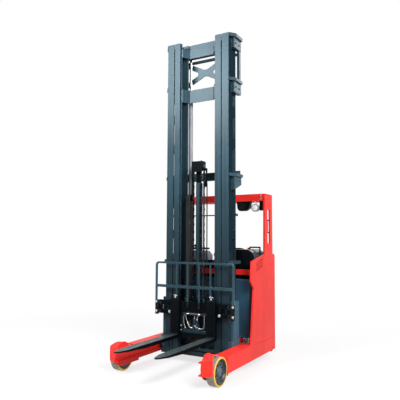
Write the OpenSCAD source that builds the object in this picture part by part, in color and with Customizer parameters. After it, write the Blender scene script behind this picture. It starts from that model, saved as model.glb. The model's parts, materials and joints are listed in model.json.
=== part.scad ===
// Stand-on reach truck with a telescoping mast, straddle legs and a side-shifting fork carriage.
// X runs to the right as seen from the forks, Y to the rear, Z up. Millimetres.

/* [Chassis] */
// Overall width across the straddle legs
truck_w = 1270; // [1150:5:1400]
// Rear face of the body
body_rear_y = 1005; // [960:5:1060]
// Front face of the battery bay
bay_y = 395; // [385:1:410]
// Underside of the legs and the base plate
frame_z = 90; // [70:1:110]
// Top of the legs ahead of the body
leg_z = 258; // [240:1:270]
// Width of the leg's outer box
leg_w = 106; // [100:1:115]
// Top of the red sill under the side panels
sill_z = 244; // [220:1:256]

/* [Wheels] */
// Load wheel diameter
load_d = 285; // [250:1:300]
// Load wheel axle, front to rear
load_y = -470; // [-500:1:-440]
// Drive wheel diameter
drive_d = 250; // [230:1:260]
// Caster wheel diameter
caster_d = 150; // [130:1:160]
// Distance of the caster's axle behind its swivel axis
caster_trail = 30; // [20:1:40]

/* [Body] */
// Top of the battery
battery_top = 975; // [900:1:990]
// Top of the side panels
panel_top = 1258; // [1200:1:1300]
// Top of the dash
dash_top = 1316; // [1280:1:1360]
// Top of the overhead guard
guard_z = 1993; // [1900:1:2150]

/* [Mast] */
// Top of the mast, lowered
mast_z = 3855; // [3000:5:4200]
// Front plane of the rails
mast_y = 135; // [130:1:140]
// Distance from the truck's side to the mast's side
mast_in = 215; // [210:1:225]
// Lift cylinder barrel diameter
lift_d = 54; // [48:1:56]
// Free-lift cylinder barrel diameter
free_d = 80; // [68:1:82]

/* [Forks] */
// Distance from the fork tips to the face of the shanks
fork_len = 1057; // [900:1:1200]
// Width of one fork
fork_w = 109; // [90:1:120]
// Middle of each fork
fork_x = 238; // [220:1:250]
// Thickness of the blade
fork_t = 40; // [35:1:45]
// Top of the blade
fork_z = 340; // [330:1:350]

/* [Hidden] */
$fn = 64;
half_w = truck_w / 2;
load_r = load_d / 2;
drive_r = drive_d / 2;
caster_r = caster_d / 2;
// Gap round pins, rods and guides
pin_gap = 0.3;
// How far a cut runs past the face it opens
over = 5;

// Colours
red = [0.80, 0.06, 0.05];
slate = [0.22, 0.25, 0.28];
black = [0.05, 0.05, 0.06];
steel = [0.70, 0.71, 0.72];
pale = [0.62, 0.62, 0.68];
blue_grey = [0.16, 0.19, 0.22];
tyre_grey = [0.30, 0.29, 0.28];

// Box between two corners
module slab(x, y, z) {
    translate([x[0], y[0], z[0]]) cube([x[1] - x[0], y[1] - y[0], z[1] - z[0]]);
}
// Round bars along each axis
module rod_x(x, y, z, d) {
    translate([x[0], y, z]) rotate([0, 90, 0]) cylinder(h = x[1] - x[0], d = d);
}
module rod_y(x, y, z, d) {
    translate([x, y[0], z]) rotate([-90, 0, 0]) cylinder(h = y[1] - y[0], d = d);
}
module rod_z(x, y, z, d) {
    translate([x, y, z[0]]) cylinder(h = z[1] - z[0], d = d);
}
// Outline in Y and Z, spread along X
module plate_x(x) {
    translate([x[0], 0, 0]) rotate([90, 0, 90]) linear_extrude(x[1] - x[0]) children();
}
// Outline in X and Z, spread along Y
module plate_y(y) {
    translate([0, y[1], 0]) rotate([90, 0, 0]) linear_extrude(y[1] - y[0]) children();
}
// Outline in X and Y, spread along Z
module plate_z(z) {
    translate([0, 0, z[0]]) linear_extrude(z[1] - z[0]) children();
}
// Rectangle with round corners
module round_rect(a, b, r) {
    translate([a[0] + r, a[1]]) square([b[0] - a[0] - 2 * r, b[1] - a[1]]);
    translate([a[0], a[1] + r]) square([b[0] - a[0], b[1] - a[1] - 2 * r]);
    for (u = [a[0] + r, b[0] - r])
        for (v = [a[1] + r, b[1] - r])
            translate([u, v]) circle(r = r);
}
// Left and right copies
module both() {
    children();
    mirror([1, 0, 0]) children();
}

// Straddle leg: outer box, guide channel inside it, cheek plate beside the load wheel
leg_in_x = half_w - leg_w;
channel_wall = 12;
channel_x = leg_in_x - 42;
channel_z0 = 125;
channel_front = load_y - 190;
web_x = leg_in_x - channel_wall;
cheek_r = 128;
cheek_y = load_y - 72;
cheek_z = 196;
cheek_low = 72;
leg_front = load_y + load_r + 9.5;
end_plate_y = [leg_front - 3, leg_front + 9];
// Battery bay, decks and bulkhead
tray_z = 300;
wall_t = 15;
plate_t = 20;
bulkhead_y = bay_y + 240;
bulkhead_z = battery_top + 5;
battery_x = half_w - 53;
deck_z = 300;
deck_x = 135;
floor_z = 245;
divider_t = 8;
rear_t = 12;
// Openings in the base plate for the steered wheels
drive_x = half_w - 303;
drive_y = body_rear_y - 205;
caster_x = 235 - half_w;
drive_hole_d = 290;
caster_hole_d = 240;
// Reach cylinder
reach_z = 191.5;
reach_d = 70;
reach_rod_d = 40;
reach_y = [bay_y + 30, body_rear_y - 65];
reach_hole_d = 84;
anchor_x = 40;
anchor_y = [reach_y[1], reach_y[1] + 35];
// Jacking foot under the rear of each sill
foot_x = [half_w - 40, half_w - 8];
foot_y = [body_rear_y - 120, body_rear_y - 70];
foot_z = frame_z - 16;

module cheek_outline() {
    difference() {
        union() {
            translate([cheek_y, cheek_z]) circle(r = cheek_r);
            translate([cheek_y, cheek_low]) square([leg_front + 60 - cheek_y, leg_z - cheek_low]);
        }
        translate([cheek_y - cheek_r - over, cheek_z - cheek_r - over])
            square([2 * cheek_r + 2 * over, cheek_low - cheek_z + cheek_r + over]);
    }
}

// Straddle legs, base plate and bay, welded together
module chassis() {
    color(red) difference() {
        union() {
            both() {
                slab([leg_in_x, half_w], [leg_front, bay_y], [frame_z, leg_z]);
                slab([leg_in_x, half_w], [bay_y, body_rear_y], [frame_z, sill_z]);
                slab([leg_in_x, half_w], end_plate_y, [cheek_low, leg_z]);
                slab(foot_x, foot_y, [foot_z, frame_z]);
                plate_x([web_x, leg_in_x]) cheek_outline();
                slab([web_x, leg_in_x], [cheek_y, bay_y], [channel_z0, leg_z]);
                for (z = [channel_z0, leg_z - channel_wall])
                    slab([channel_x, leg_in_x], [channel_front, bay_y], [z, z + channel_wall]);
            }
            slab([-leg_in_x, leg_in_x], [bay_y, body_rear_y], [frame_z, frame_z + plate_t]);
            slab([-leg_in_x, leg_in_x], [bay_y, bay_y + plate_t], [frame_z, tray_z]);
            slab([-leg_in_x, leg_in_x], [bay_y, bulkhead_y + wall_t], [tray_z - wall_t, tray_z]);
            slab([-battery_x, battery_x], [bulkhead_y, bulkhead_y + wall_t], [tray_z - wall_t, bulkhead_z]);
            slab([-leg_in_x, deck_x], [bulkhead_y, body_rear_y], [floor_z - wall_t, floor_z]);
            slab([deck_x, leg_in_x], [bulkhead_y, body_rear_y], [deck_z - wall_t, deck_z]);
            slab([deck_x, deck_x + divider_t], [bulkhead_y, body_rear_y], [frame_z, deck_z]);
            slab([-leg_in_x, leg_in_x], [body_rear_y - rear_t, body_rear_y], [frame_z, floor_z]);
            slab([deck_x, leg_in_x], [body_rear_y - rear_t, body_rear_y], [floor_z, deck_z]);
            slab([-anchor_x, anchor_x], anchor_y, [frame_z, floor_z - wall_t]);
        }
        rod_z(drive_x, drive_y, [frame_z - over, frame_z + plate_t + over], drive_hole_d);
        rod_z(caster_x, drive_y, [frame_z - over, frame_z + plate_t + over], caster_hole_d);
        rod_y(0, [bay_y - over, bay_y + plate_t + over], reach_z, reach_hole_d);
    }
}

// Bent hoods ahead of and above the load wheels, swept back towards the outside
hood_x = [leg_in_x, half_w - 8];
hood_front = [load_y - 198, load_y - 160];
hood_low = 124;
hood_crease = 268;
hood_ridge = [load_y - 90, 322];
hood_end = [load_y - 10, 306];
hood_t = 9;
hood_r = 60;
hood_low_r = 30;
// Space under the bent sheet, drawn in by one thickness and let out at the open sides
module hood_block(t, out) {
    intersection() {
        plate_z([hood_low - out, hood_ridge[1]]) polygon([[hood_x[0] - out, hood_front[0] + t],
            [hood_x[0], hood_front[0] + t], [hood_x[1], hood_front[1] + t],
            [hood_x[1] + out, hood_front[1] + t], [hood_x[1] + out, hood_end[0] + out],
            [hood_x[0] - out, hood_end[0] + out]]);
        plate_x([hood_x[0] - out, hood_x[1] + out]) polygon([[hood_front[0], hood_low - out],
            [hood_front[0], hood_crease - t], [hood_ridge[0], hood_ridge[1] - t],
            [hood_end[0], hood_end[1] - t], [hood_end[0] + out, hood_end[1] - t],
            [hood_end[0] + out, hood_low - out]]);
    }
}
// Seen from the front: outer corners rounded
module hood_face() {
    w = hood_x[1] - hood_x[0];
    translate([hood_x[0], hood_low + hood_low_r])
        square([w, hood_ridge[1] - hood_r - hood_low - hood_low_r]);
    translate([hood_x[0], hood_low]) square([w - hood_low_r, hood_low_r + 1]);
    translate([hood_x[0], hood_ridge[1] - hood_r - 1]) square([w - hood_r, hood_r + 1]);
    translate([hood_x[1] - hood_low_r, hood_low + hood_low_r]) circle(r = hood_low_r);
    translate([hood_x[1] - hood_r, hood_ridge[1] - hood_r]) circle(r = hood_r);
}
module wheel_hoods() {
    color(red) both() intersection() {
        difference() {
            hood_block(0, 0);
            hood_block(hood_t, over);
        }
        plate_y([hood_front[0] - over, hood_end[0] + over]) hood_face();
    }
}

// Stub axles bolted to the cheek plates
axle_d = 40;
axle_flange_d = 90;
axle_flange_t = 7;
wheel_in_x = leg_in_x + 11;
tyre_w = half_w - wheel_in_x;
module load_axles() {
    color(steel) both() {
        rod_x([leg_in_x, leg_in_x + axle_flange_t], load_y, load_r, axle_flange_d);
        rod_x([leg_in_x, half_w - 18], load_y, load_r, axle_d);
    }
}

// Load wheel: polyurethane tyre on a dished hub, drawn on the right
hub_r = load_r - 18;
tyre_edge = 5;
module load_tyre() {
    color(tyre_grey) translate([wheel_in_x, load_y, load_r]) rotate([0, 90, 0])
        rotate_extrude() polygon([[hub_r, 0], [load_r - tyre_edge, 0], [load_r, tyre_edge],
            [load_r, tyre_w - tyre_edge], [load_r - tyre_edge, tyre_w], [hub_r, tyre_w]]);
}
module load_hub() {
    bore_r = axle_d / 2 + pin_gap;
    dish = tyre_w - 24;
    boss = tyre_w - 12;
    color(slate) translate([wheel_in_x, load_y, load_r]) rotate([0, 90, 0])
        rotate_extrude() polygon([[bore_r, 2], [hub_r, 2], [hub_r, tyre_w - 3], [hub_r - 9, tyre_w - 3],
            [hub_r - 24, dish], [48, dish], [42, boss], [bore_r, boss]]);
}
module load_tyre_right() { load_tyre(); }
module load_tyre_left() { mirror([1, 0, 0]) load_tyre(); }
module load_hub_right() { load_hub(); }
module load_hub_left() { mirror([1, 0, 0]) load_hub(); }

// Battery block in its steel tank, front corners cut off
battery_y = [bay_y + 5, bulkhead_y - 5];
battery_cut = 32;
module battery() {
    color(blue_grey) plate_z([tray_z, battery_top]) polygon([
        [-battery_x + battery_cut, battery_y[0]], [battery_x - battery_cut, battery_y[0]],
        [battery_x, battery_y[0] + battery_cut], [battery_x, battery_y[1]],
        [-battery_x, battery_y[1]], [-battery_x, battery_y[0] + battery_cut]]);
}

// Red bar across the front of the battery bay, on a strut from each side of the bulkhead
panel_in_x = half_w - 20;
bar_left_x = 75 - half_w;
bay_bar_y = [bay_y - 5, bay_y + 25];
bay_bar_z = [battery_top + 49, battery_top + 111];
module cross_bar() {
    color(red) slab([bar_left_x, panel_in_x], bay_bar_y, bay_bar_z);
}

// Side panels with a stepped front edge and slanted vents
panel_front = bay_y - 133;
vent_y = [bay_y + 20, bay_y + 225];
vent_rise = 50;
vent_h = 12;
vents = [panel_top - 192, panel_top - 164, panel_top - 136, panel_top - 108];
seam = 4;
left_front = bay_y + 150;
module panel_outline() {
    polygon([[panel_front, leg_z], [bay_y - 42, panel_top - 389], [bay_y - 126, panel_top - 302],
        [bay_y - 92, panel_top - 73], [bay_y + 278, panel_top], [body_rear_y - 30, panel_top],
        [body_rear_y + 8, panel_top - 23], [body_rear_y, sill_z + seam], [bay_y, sill_z + seam],
        [bay_y, leg_z]]);
}
module vent_slots() {
    for (z = vents)
        polygon([[vent_y[0], z], [vent_y[1], z + vent_rise], [vent_y[1], z + vent_rise + vent_h],
            [vent_y[0], z + vent_h]]);
}
module side_panel_right() {
    color(red) plate_x([panel_in_x, half_w]) difference() {
        panel_outline();
        vent_slots();
    }
}
module side_panel_left() {
    color(red) mirror([1, 0, 0]) plate_x([panel_in_x, half_w]) difference() {
        panel_outline();
        translate([panel_front - over, 0]) square([left_front - panel_front + over, panel_top + over]);
    }
}

// Cover over the drive motor
cover_x = [deck_x, half_w - 30];
cover_y = [bulkhead_y + 20, body_rear_y - 2];
cover_z = battery_top + 135;
cover_t = 8;
module rear_cover() {
    color(red) difference() {
        slab(cover_x, cover_y, [deck_z, cover_z]);
        slab([cover_x[0] + cover_t, cover_x[1] - cover_t], [cover_y[0] + cover_t, cover_y[1] - cover_t],
            [deck_z - over, cover_z - cover_t]);
    }
}

// Rubber floor where the operator stands
mat_t = 10;
module platform() {
    color(black) slab([-leg_in_x, deck_x - 2], [bulkhead_y + 20, body_rear_y - 3],
        [floor_z, floor_z + mat_t]);
}

// Black dash, raised on the right with a rounded shoulder, running back over the drive cover
dash_x = [75 - half_w, half_w - 27];
dash_y = [bay_y + 30, bulkhead_y + 20];
dash_base = bulkhead_z;
dash_low = dash_top - 151;
hump_x = 140;
shoulder_r = 110;
desk_y = [dash_y[1] - 1, dash_y[1] + 120];
module hump_outline(low) {
    translate([hump_x, low]) square([dash_x[1] - shoulder_r - hump_x, dash_top - low]);
    translate([hump_x, low]) square([dash_x[1] - hump_x, dash_top - shoulder_r - low]);
    translate([dash_x[1] - shoulder_r, dash_top - shoulder_r]) circle(r = shoulder_r);
}
module dash_outline() {
    translate([dash_x[0], dash_base]) square([dash_x[1] - dash_x[0], dash_low - dash_base]);
    hump_outline(dash_base);
}
module dash() {
    color(black) {
        plate_y(dash_y) dash_outline();
        plate_y(desk_y) intersection() {
            hump_outline(cover_z);
            translate([hump_x, cover_z]) square([dash_x[1] - hump_x, dash_top - cover_z]);
        }
    }
}

// Pale steering console with the hand wheel on its column
wheel_c = [-225, bulkhead_y - 15];
wheel_z = dash_top + 2;
wheel_r = 112;
rim_d = 24;
console_x = [-330, -60];
console_y = [bulkhead_y - 105, bulkhead_y + 20];
column_d = 44;
module console() {
    color(pale) {
        plate_x(console_x) polygon([[console_y[0], dash_low], [console_y[1], dash_low],
            [console_y[1], dash_low + 75], [console_y[0] + 40, dash_low + 127],
            [console_y[0], dash_low + 105]]);
        rod_z(wheel_c[0], wheel_c[1], [dash_low + 35, wheel_z - 12], column_d);
    }
}
module steering_wheel() {
    color(black) translate([wheel_c[0], wheel_c[1], wheel_z]) {
        rotate_extrude() translate([wheel_r, 0]) circle(d = rim_d, $fn = 24);
        translate([0, 0, -12]) cylinder(h = 20, d = 76);
        for (a = [90, 210, 330])
            rotate([0, 0, a]) translate([30, -11, -7]) cube([wheel_r - 36, 22, 12]);
    }
}

// Loop handle on the dash, its outer leg on the shoulder
loop_x = [half_w - 175, half_w - 45];
loop_y = bulkhead_y + 5;
loop_d = 18;
loop_h = 24;
module grab_loop() {
    loop_top = dash_top + loop_h;
    color(black) difference() {
        translate([0, loop_y, 0]) {
            for (x = loop_x) {
                rod_z(x, 0, [dash_top - 75, loop_top], loop_d);
                translate([x, 0, loop_top]) sphere(d = loop_d, $fn = 32);
            }
            rod_x(loop_x, 0, loop_top, loop_d);
        }
        plate_y(dash_y) dash_outline();
    }
}

// Overhead guard: two slotted posts, two beams and bars between them
post_x = half_w - 20;
post_y = [body_rear_y - 328, body_rear_y - 66];
beam_h = 88;
beam_low = guard_z - beam_h;
beams = [[post_y[0] + 23, post_y[0] + 93], [post_y[1] - 74, post_y[1] - 4]];
bar_z = guard_z - 43;
bar_half = 12;
guard_bars = [-0.63, -0.315, 0, 0.315, 0.63];
slot_y = [body_rear_y - 228, body_rear_y - 144];
slot_z = [panel_top + 122, guard_z - 182];
module post_outline() {
    difference() {
        polygon([[post_y[0], panel_top], [post_y[0] + 13, guard_z - 113], [post_y[0] + 23, guard_z],
            [post_y[1] - 4, guard_z], [post_y[1], panel_top]]);
        round_rect([slot_y[0], slot_z[0]], [slot_y[1], slot_z[1]], 30);
    }
}
module guard() {
    color(red) {
        both() plate_x([post_x, half_w]) post_outline();
        for (y = beams) slab([-half_w, half_w], y, [beam_low, guard_z]);
        for (x = guard_bars)
            slab([x * half_w - bar_half, x * half_w + bar_half], [beams[0][1] - over, beams[1][0] + over],
                [bar_z, guard_z]);
    }
}

// Loop grips in the slots of the posts
grip_d = 14;
grip_x = half_w - 10;
grip_mid = (slot_z[0] + slot_z[1]) / 2;
grip_half = 76;
module guard_handles() {
    color(black) both() {
        rod_z(grip_x, slot_y[0] + 20, [grip_mid - grip_half, grip_mid + grip_half], grip_d);
        for (s = [-1, 1]) {
            rod_y(grip_x, [slot_y[0] + 20, slot_y[1]], grip_mid + s * grip_half, grip_d);
            translate([grip_x, slot_y[0] + 20, grip_mid + s * grip_half]) sphere(d = grip_d, $fn = 32);
        }
    }
}

// Round lamp and two housings under the front beam
lamp_x = half_w - 131;
lamp_z = guard_z - 171;
lamp_d = 88;
lamp_y = [beams[0][0] - 10, beams[0][0] + 50];
module work_lamp() {
    color(steel) {
        rod_y(lamp_x, lamp_y, lamp_z, lamp_d);
        slab([lamp_x - 10, lamp_x + 10], [lamp_y[0] + 22, lamp_y[0] + 52], [lamp_z, beam_low]);
    }
}
box_y = [beams[0][0] + 6, beams[0][0] + 64];
box_x = [half_w - 385, half_w - 195];
small_box_x = [half_w - 75, half_w - 37];
box_h = 116;
module guard_boxes() {
    color(black) {
        plate_y(box_y) polygon([[box_x[0], beam_low], [box_x[0] + 14, beam_low - box_h + 24],
            [box_x[0] + 40, beam_low - box_h], [box_x[1] - 66, beam_low - box_h],
            [box_x[1] - 20, beam_low - box_h + 30], [box_x[1], beam_low]]);
        slab(small_box_x, box_y, [beam_low - box_h, beam_low]);
    }
}

// Drive motor under its cover
motor_d = 180;
motor_top = 640;
module drive_motor() {
    color(slate) rod_z(drive_x, drive_y, [deck_z, motor_top], motor_d);
}

// Barrel of the reach cylinder between the legs
module reach_barrel() {
    color(black) difference() {
        rod_y(0, reach_y, reach_z, reach_d);
        rod_y(0, [reach_y[0] - over, reach_y[1] - 20], reach_z, reach_rod_d + 2 * pin_gap);
    }
}

// Steered drive unit: turntable, gear leg and axle
turntable_d = 220;
gear_x = [drive_x + 50, drive_x + 76];
gear_half = 58;
drive_half = 43;
drive_axle_d = 44;
module drive_unit() {
    color(slate) {
        rod_z(drive_x, drive_y, [deck_z - wall_t - 27, deck_z - wall_t - pin_gap], turntable_d);
        slab(gear_x, [drive_y - gear_half, drive_y + gear_half], [drive_r, deck_z - wall_t - 23]);
        rod_x(gear_x, drive_y, drive_r, 2 * gear_half);
        rod_x([drive_x - drive_half + 3, gear_x[0] + 2], drive_y, drive_r, drive_axle_d);
    }
}
module drive_wheel() {
    color(tyre_grey) difference() {
        rod_x([drive_x - drive_half, drive_x + drive_half], drive_y, drive_r, drive_d);
        rod_x([drive_x - drive_half - over, drive_x + drive_half + over], drive_y, drive_r,
            drive_axle_d + 2 * pin_gap);
    }
}

// Swivelling caster beside the drive wheel
swivel_d = 110;
swivel_z = [floor_z - wall_t - 25, floor_z - wall_t - pin_gap];
caster_axle_d = 24;
caster_half = 24;
caster_cheeks = [-38, 30];
cheek_t = 8;
module caster_fork() {
    axle_y = drive_y + caster_trail;
    color(slate) {
        rod_z(caster_x, drive_y, swivel_z, swivel_d);
        for (x = caster_cheeks)
            plate_x([caster_x + x, caster_x + x + cheek_t]) polygon([[drive_y - 45, swivel_z[0] + 5],
                [drive_y + 45, swivel_z[0] + 5], [axle_y + 25, caster_r], [axle_y, caster_r - 25],
                [axle_y - 25, caster_r]]);
        rod_x([caster_x - 40, caster_x + 40], axle_y, caster_r, caster_axle_d);
    }
}
module caster_wheel() {
    axle_y = drive_y + caster_trail;
    color(tyre_grey) difference() {
        rod_x([caster_x - caster_half, caster_x + caster_half], axle_y, caster_r, caster_d);
        rod_x([caster_x - caster_half - over, caster_x + caster_half + over], axle_y, caster_r,
            caster_axle_d + 2 * pin_gap);
    }
}

// Reach carriage: side plates, bottom beam, front gussets and guide rollers
mast_x = half_w - mast_in;
base_z = [94, 140];
side_x = [mast_x, channel_x - 17];
side_y = [mast_y + 23, mast_y + 168];
side_top = 742;
side_r = 45;
heel_y = mast_y + 243;
roller_y = [190, 330];
roller_d = 96;
roller_pin_d = 40;
gusset_y = [mast_y - 14, mast_y - pin_gap];
gusset_top = 300;
beam_y = [mast_y, 330];
module side_plate_outline() {
    translate([side_y[0], base_z[0]]) square([side_y[1] - side_y[0], side_top - side_r - base_z[0]]);
    translate([side_y[0], base_z[0]]) square([side_y[1] - side_r - side_y[0], side_top - base_z[0]]);
    translate([side_y[1] - side_r, side_top - side_r]) circle(r = side_r);
    polygon([[side_y[1] - over, base_z[0]], [heel_y - 48, base_z[0]], [heel_y, 150], [heel_y, 250],
        [side_y[1] - over, 272]]);
    translate([gusset_y[0], base_z[0]]) square([side_y[0] + over - gusset_y[0], gusset_top - base_z[0]]);
}
module reach_frame() {
    color(slate) {
        both() {
            plate_x(side_x) side_plate_outline();
            plate_y(gusset_y) polygon([[side_x[1], base_z[0]], [side_x[1], gusset_top],
                [side_x[0], gusset_top],
                [side_x[0] - 55, gusset_top - 95], [side_x[0] - 55, base_z[0]]]);
            for (y = roller_y) {
                rod_x([side_x[1] - over, side_x[1] + 14], y, reach_z, roller_pin_d);
                rod_x([side_x[1] + 12, web_x - 7], y, reach_z, roller_d);
            }
        }
        slab([-side_x[1], side_x[1]], beam_y, base_z);
    }
}
module reach_rod() {
    color(steel) rod_y(0, [beam_y[1], reach_y[1] - 35], reach_z, reach_rod_d);
}

// Heights on the mast grow with its lowered height
mast_k = mast_z / 3855;
function up(z) = [for (v = z) v * mast_k];

// Channel rail that opens inward, drawn on the right
module rail(x, y, z, web, flange) {
    slab([x[1] - web, x[1]], y, z);
    slab(x, [y[0], y[0] + flange], z);
    slab(x, [y[1] - flange, y[1]], z);
}
outer_y = [mast_y, mast_y + 190];
middle_y = [mast_y, mast_y + 140];
inner_y = [mast_y + 20, mast_y + 120];
outer_rail = [mast_x - 88, mast_x];
middle_rail = [mast_x - 176, mast_x - 101];
inner_rail = [mast_x - 190, mast_x - 122];
outer_wall = 16;
middle_wall = 13;
middle_flange = 14;
inner_wall = 14;
inner_flange = 12;
// How much further inward the inner rail's rear flange runs
inner_lap = 40;
// Openings along the rear half of each outer rail
window_y = [mast_y + 105, outer_y[1] - outer_wall];
windows = [[1210, 1440], [1550, 1815], [2215, 2500], [2620, 2870], [2990, 3140]];
lug_x = 45;
lug_y = [290, 330];
lug_z = 240;
module outer_mast() {
    color(slate) {
        both() difference() {
            rail(outer_rail, outer_y, [base_z[1], mast_z], outer_wall, outer_wall);
            for (w = windows)
                slab([mast_x - outer_wall - over, mast_x + over], window_y, up(w));
        }
        slab([-lug_x, lug_x], lug_y, [base_z[1], lug_z]);
    }
}

// Brackets round the outer rails, joined across the rear, with the cross brace
tie_y = [mast_y + 207, mast_y + 223];
bracket_y = [mast_y + 70, mast_y + 250];
bracket_x = [mast_x, mast_x + 46];
lip_x = mast_x + 64;
// Columns: lip top, lip underside, box underside at the front, box underside at the rear
brackets = [[3855, 3815, 3690, 3690], [3320, 3285, 3155, 3155], [2195, 2160, 2005, 2075]];
ties = [[3700, 3830], [3155, 3300], [2140, 2240]];
rear_bar_y = [mast_y + 205, mast_y + 248];
rear_bar_x = [mast_x + 12, mast_x + 42];
rear_bar_z = [3300, 3700];
low_bar_z = [1152, 1190];
low_bar_x = [mast_x, mast_x + 34];
tube_z = rear_bar_z[1] - 45;
tube_d = 38;
wire_z = 1720;
wire_d = 14;
brace_half = [mast_x - 20, 200 * mast_k];
brace_mid = 3500 * mast_k;
brace_w = 60;
brace_a = atan2(brace_half[1], brace_half[0]);
brace_r = [76, 30];
module lip_outline() {
    polygon([[mast_x, outer_y[0] + 8], [mast_x + 16, outer_y[0] + 14], [lip_x, outer_y[0] + 80],
        [lip_x, bracket_y[1] + 5], [mast_x, bracket_y[1] + 5]]);
}
// One of the four openings of the brace: a round inner end and straight sides
module brace_top_cut() {
    c = (brace_r[0] + brace_w / 2) / cos(brace_a);
    t = [brace_r[0] * sin(brace_a), c - brace_r[0] * cos(brace_a)];
    run = (brace_half[1] + over - t[1]) / sin(brace_a);
    translate([0, c]) circle(r = brace_r[0]);
    polygon([t, [t[0] + run * cos(brace_a), brace_half[1] + over],
        [-t[0] - run * cos(brace_a), brace_half[1] + over], [-t[0], t[1]]]);
}
module brace_side_cut() {
    c = (brace_r[1] + brace_w / 2) / sin(brace_a);
    t = [c - brace_r[1] * sin(brace_a), brace_r[1] * cos(brace_a)];
    run = (brace_half[0] + over - t[0]) / cos(brace_a);
    translate([c, 0]) circle(r = brace_r[1]);
    polygon([t, [brace_half[0] + over, t[1] + run * sin(brace_a)],
        [brace_half[0] + over, -t[1] - run * sin(brace_a)], [t[0], -t[1]]]);
}
module brace_outline() {
    difference() {
        translate([-brace_half[0], -brace_half[1]]) square(2 * brace_half);
        brace_top_cut();
        mirror([0, 1]) brace_top_cut();
        brace_side_cut();
        mirror([1, 0]) brace_side_cut();
    }
}
module mast_ties() {
    color(slate) {
        both() {
            for (b = brackets) {
                plate_z(up([b[1], b[0]])) lip_outline();
                plate_x(bracket_x) polygon([[bracket_y[0], b[1] * mast_k], [bracket_y[0], b[2] * mast_k],
                    [bracket_y[1], b[3] * mast_k], [bracket_y[1], b[1] * mast_k]]);
            }
            slab(rear_bar_x, rear_bar_y, up(rear_bar_z));
            slab(low_bar_x, [outer_y[0] + 12, bracket_y[1]], up(low_bar_z));
            slab([mast_x, mast_x + wire_d], [outer_y[1] - 20, tie_y[1]],
                [wire_z * mast_k - wire_d, wire_z * mast_k + wire_d]);
        }
        for (t = ties) slab([-bracket_x[1], bracket_x[1]], tie_y, up(t));
        slab([-low_bar_x[1], low_bar_x[1]], tie_y, up(low_bar_z));
        translate([0, 0, brace_mid]) plate_y([tie_y[0] + 2, tie_y[0] + 14]) brace_outline();
        rod_x([-rear_bar_x[1], rear_bar_x[1]], tie_y[0] + 14, tube_z * mast_k, tube_d);
        rod_x([-mast_x - 5, mast_x + 5], tie_y[0] + 8, wire_z * mast_k, wire_d);
    }
}

// Lift cylinders behind the rails
lift_x = mast_x - 230;
lift_y = mast_y + 179;
lift_rod_d = 36;
lift_top = 3250 * mast_k;
lift_bore_z = 500;
top_plate = [mast_z - 65, mast_z - 5];
module lift_barrels() {
    color(pale) both() difference() {
        rod_z(lift_x, lift_y, [base_z[1], lift_top], lift_d);
        rod_z(lift_x, lift_y, [lift_bore_z, lift_top + over], lift_rod_d + 2 * pin_gap);
    }
}
module lift_rods() {
    color(steel) both() rod_z(lift_x, lift_y, [lift_bore_z + 60, top_plate[0]], lift_rod_d);
}

// Middle mast
stage_z = 146;
middle_tie_y = [middle_y[1] - 14, middle_y[1]];
middle_ties = [[stage_z, 240], [mast_z - 175, mast_z - 65]];
guide_z = 230;
module middle_mast() {
    color(slate) {
        both() {
            rail(middle_rail, middle_y, [stage_z, mast_z], middle_wall, middle_flange);
            rod_x([middle_rail[1] - 2, mast_x - outer_wall - 8], (outer_y[0] + outer_y[1]) / 2, guide_z,
                outer_y[1] - outer_y[0] - 2 * outer_wall - 2 * pin_gap);
        }
        for (z = middle_ties)
            slab([-middle_rail[0] - 4, middle_rail[0] + 4], middle_tie_y, z);
        slab([-middle_rail[1], middle_rail[1]], [middle_tie_y[0], lift_y + 20], top_plate);
    }
}

// Inner mast: ties set back in the middle, and the seat of the free-lift cylinder
inner_tie_t = 12;
inner_low_tie = [150, 250];
set_back_ties = [[3110, 3270], [3675, 3785]];
seat_z = [150, 180];
pads = [[180, 320], [900, 1060]];
pad_y = [inner_y[0] + 15, inner_y[1] - 15];
module set_back_outline() {
    x = inner_rail[0] + 3;
    bend = inner_rail[0] - 66;
    back = inner_y[1];
    front = inner_y[0] + 2;
    polygon([[-x, front], [-x, front + 20], [-bend - 8, back], [bend + 8, back], [x, front + 20], [x, front],
        [x - 14, front], [bend, back - inner_tie_t], [-bend, back - inner_tie_t], [-x + 14, front]]);
}
module inner_mast() {
    color(slate) {
        both() {
            rail(inner_rail, inner_y, [stage_z + 4, mast_z - 5], inner_wall, inner_flange);
            slab([inner_rail[0] - inner_lap, inner_rail[0] + 1], [inner_y[1] - inner_flange, inner_y[1]],
                [stage_z + 4, mast_z - 5]);
            for (z = pads)
                slab([inner_rail[1] - 2, middle_rail[1] - middle_wall - pin_gap], pad_y, z);
        }
        for (t = set_back_ties) plate_z(up(t)) set_back_outline();
        slab([-inner_rail[0] - 4, inner_rail[0] + 4], [inner_y[1] - inner_tie_t, inner_y[1]], inner_low_tie);
        slab([-inner_rail[0] - 4, inner_rail[0] + 4], [inner_y[0] + 5, inner_y[1]], seat_z);
    }
}

// Free-lift cylinder with its crosshead, chain wheels, chains and hoses
free_y = mast_y + 65;
free_top = 2100 * mast_k;
free_bore_z = 700;
free_rod_d = 52;
free_rod_z = free_bore_z + 140;
head_z = [2250 * mast_k, 2250 * mast_k + 62];
head_half = 34;
sheave_z = 2296 * mast_k;
sheave_y = free_y - 10;
sheave_r = 32;
chain_x = [40, 58];
sheave_x = [chain_x[0] - 4, chain_x[1] + 2];
head_pin_d = 24;
chain_t = 12;
links = 36;
link_step = 4;
// Cap over the chain wheels
cap_x = [62, 70];
cap_half = 40;
cap_z = sheave_z + sheave_r + chain_t + 6;
cap_t = 12;
cap_skin = 7;
cap_drop = 20;
cap_front = sheave_y - sheave_r - chain_t - 6 - cap_skin;
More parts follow.
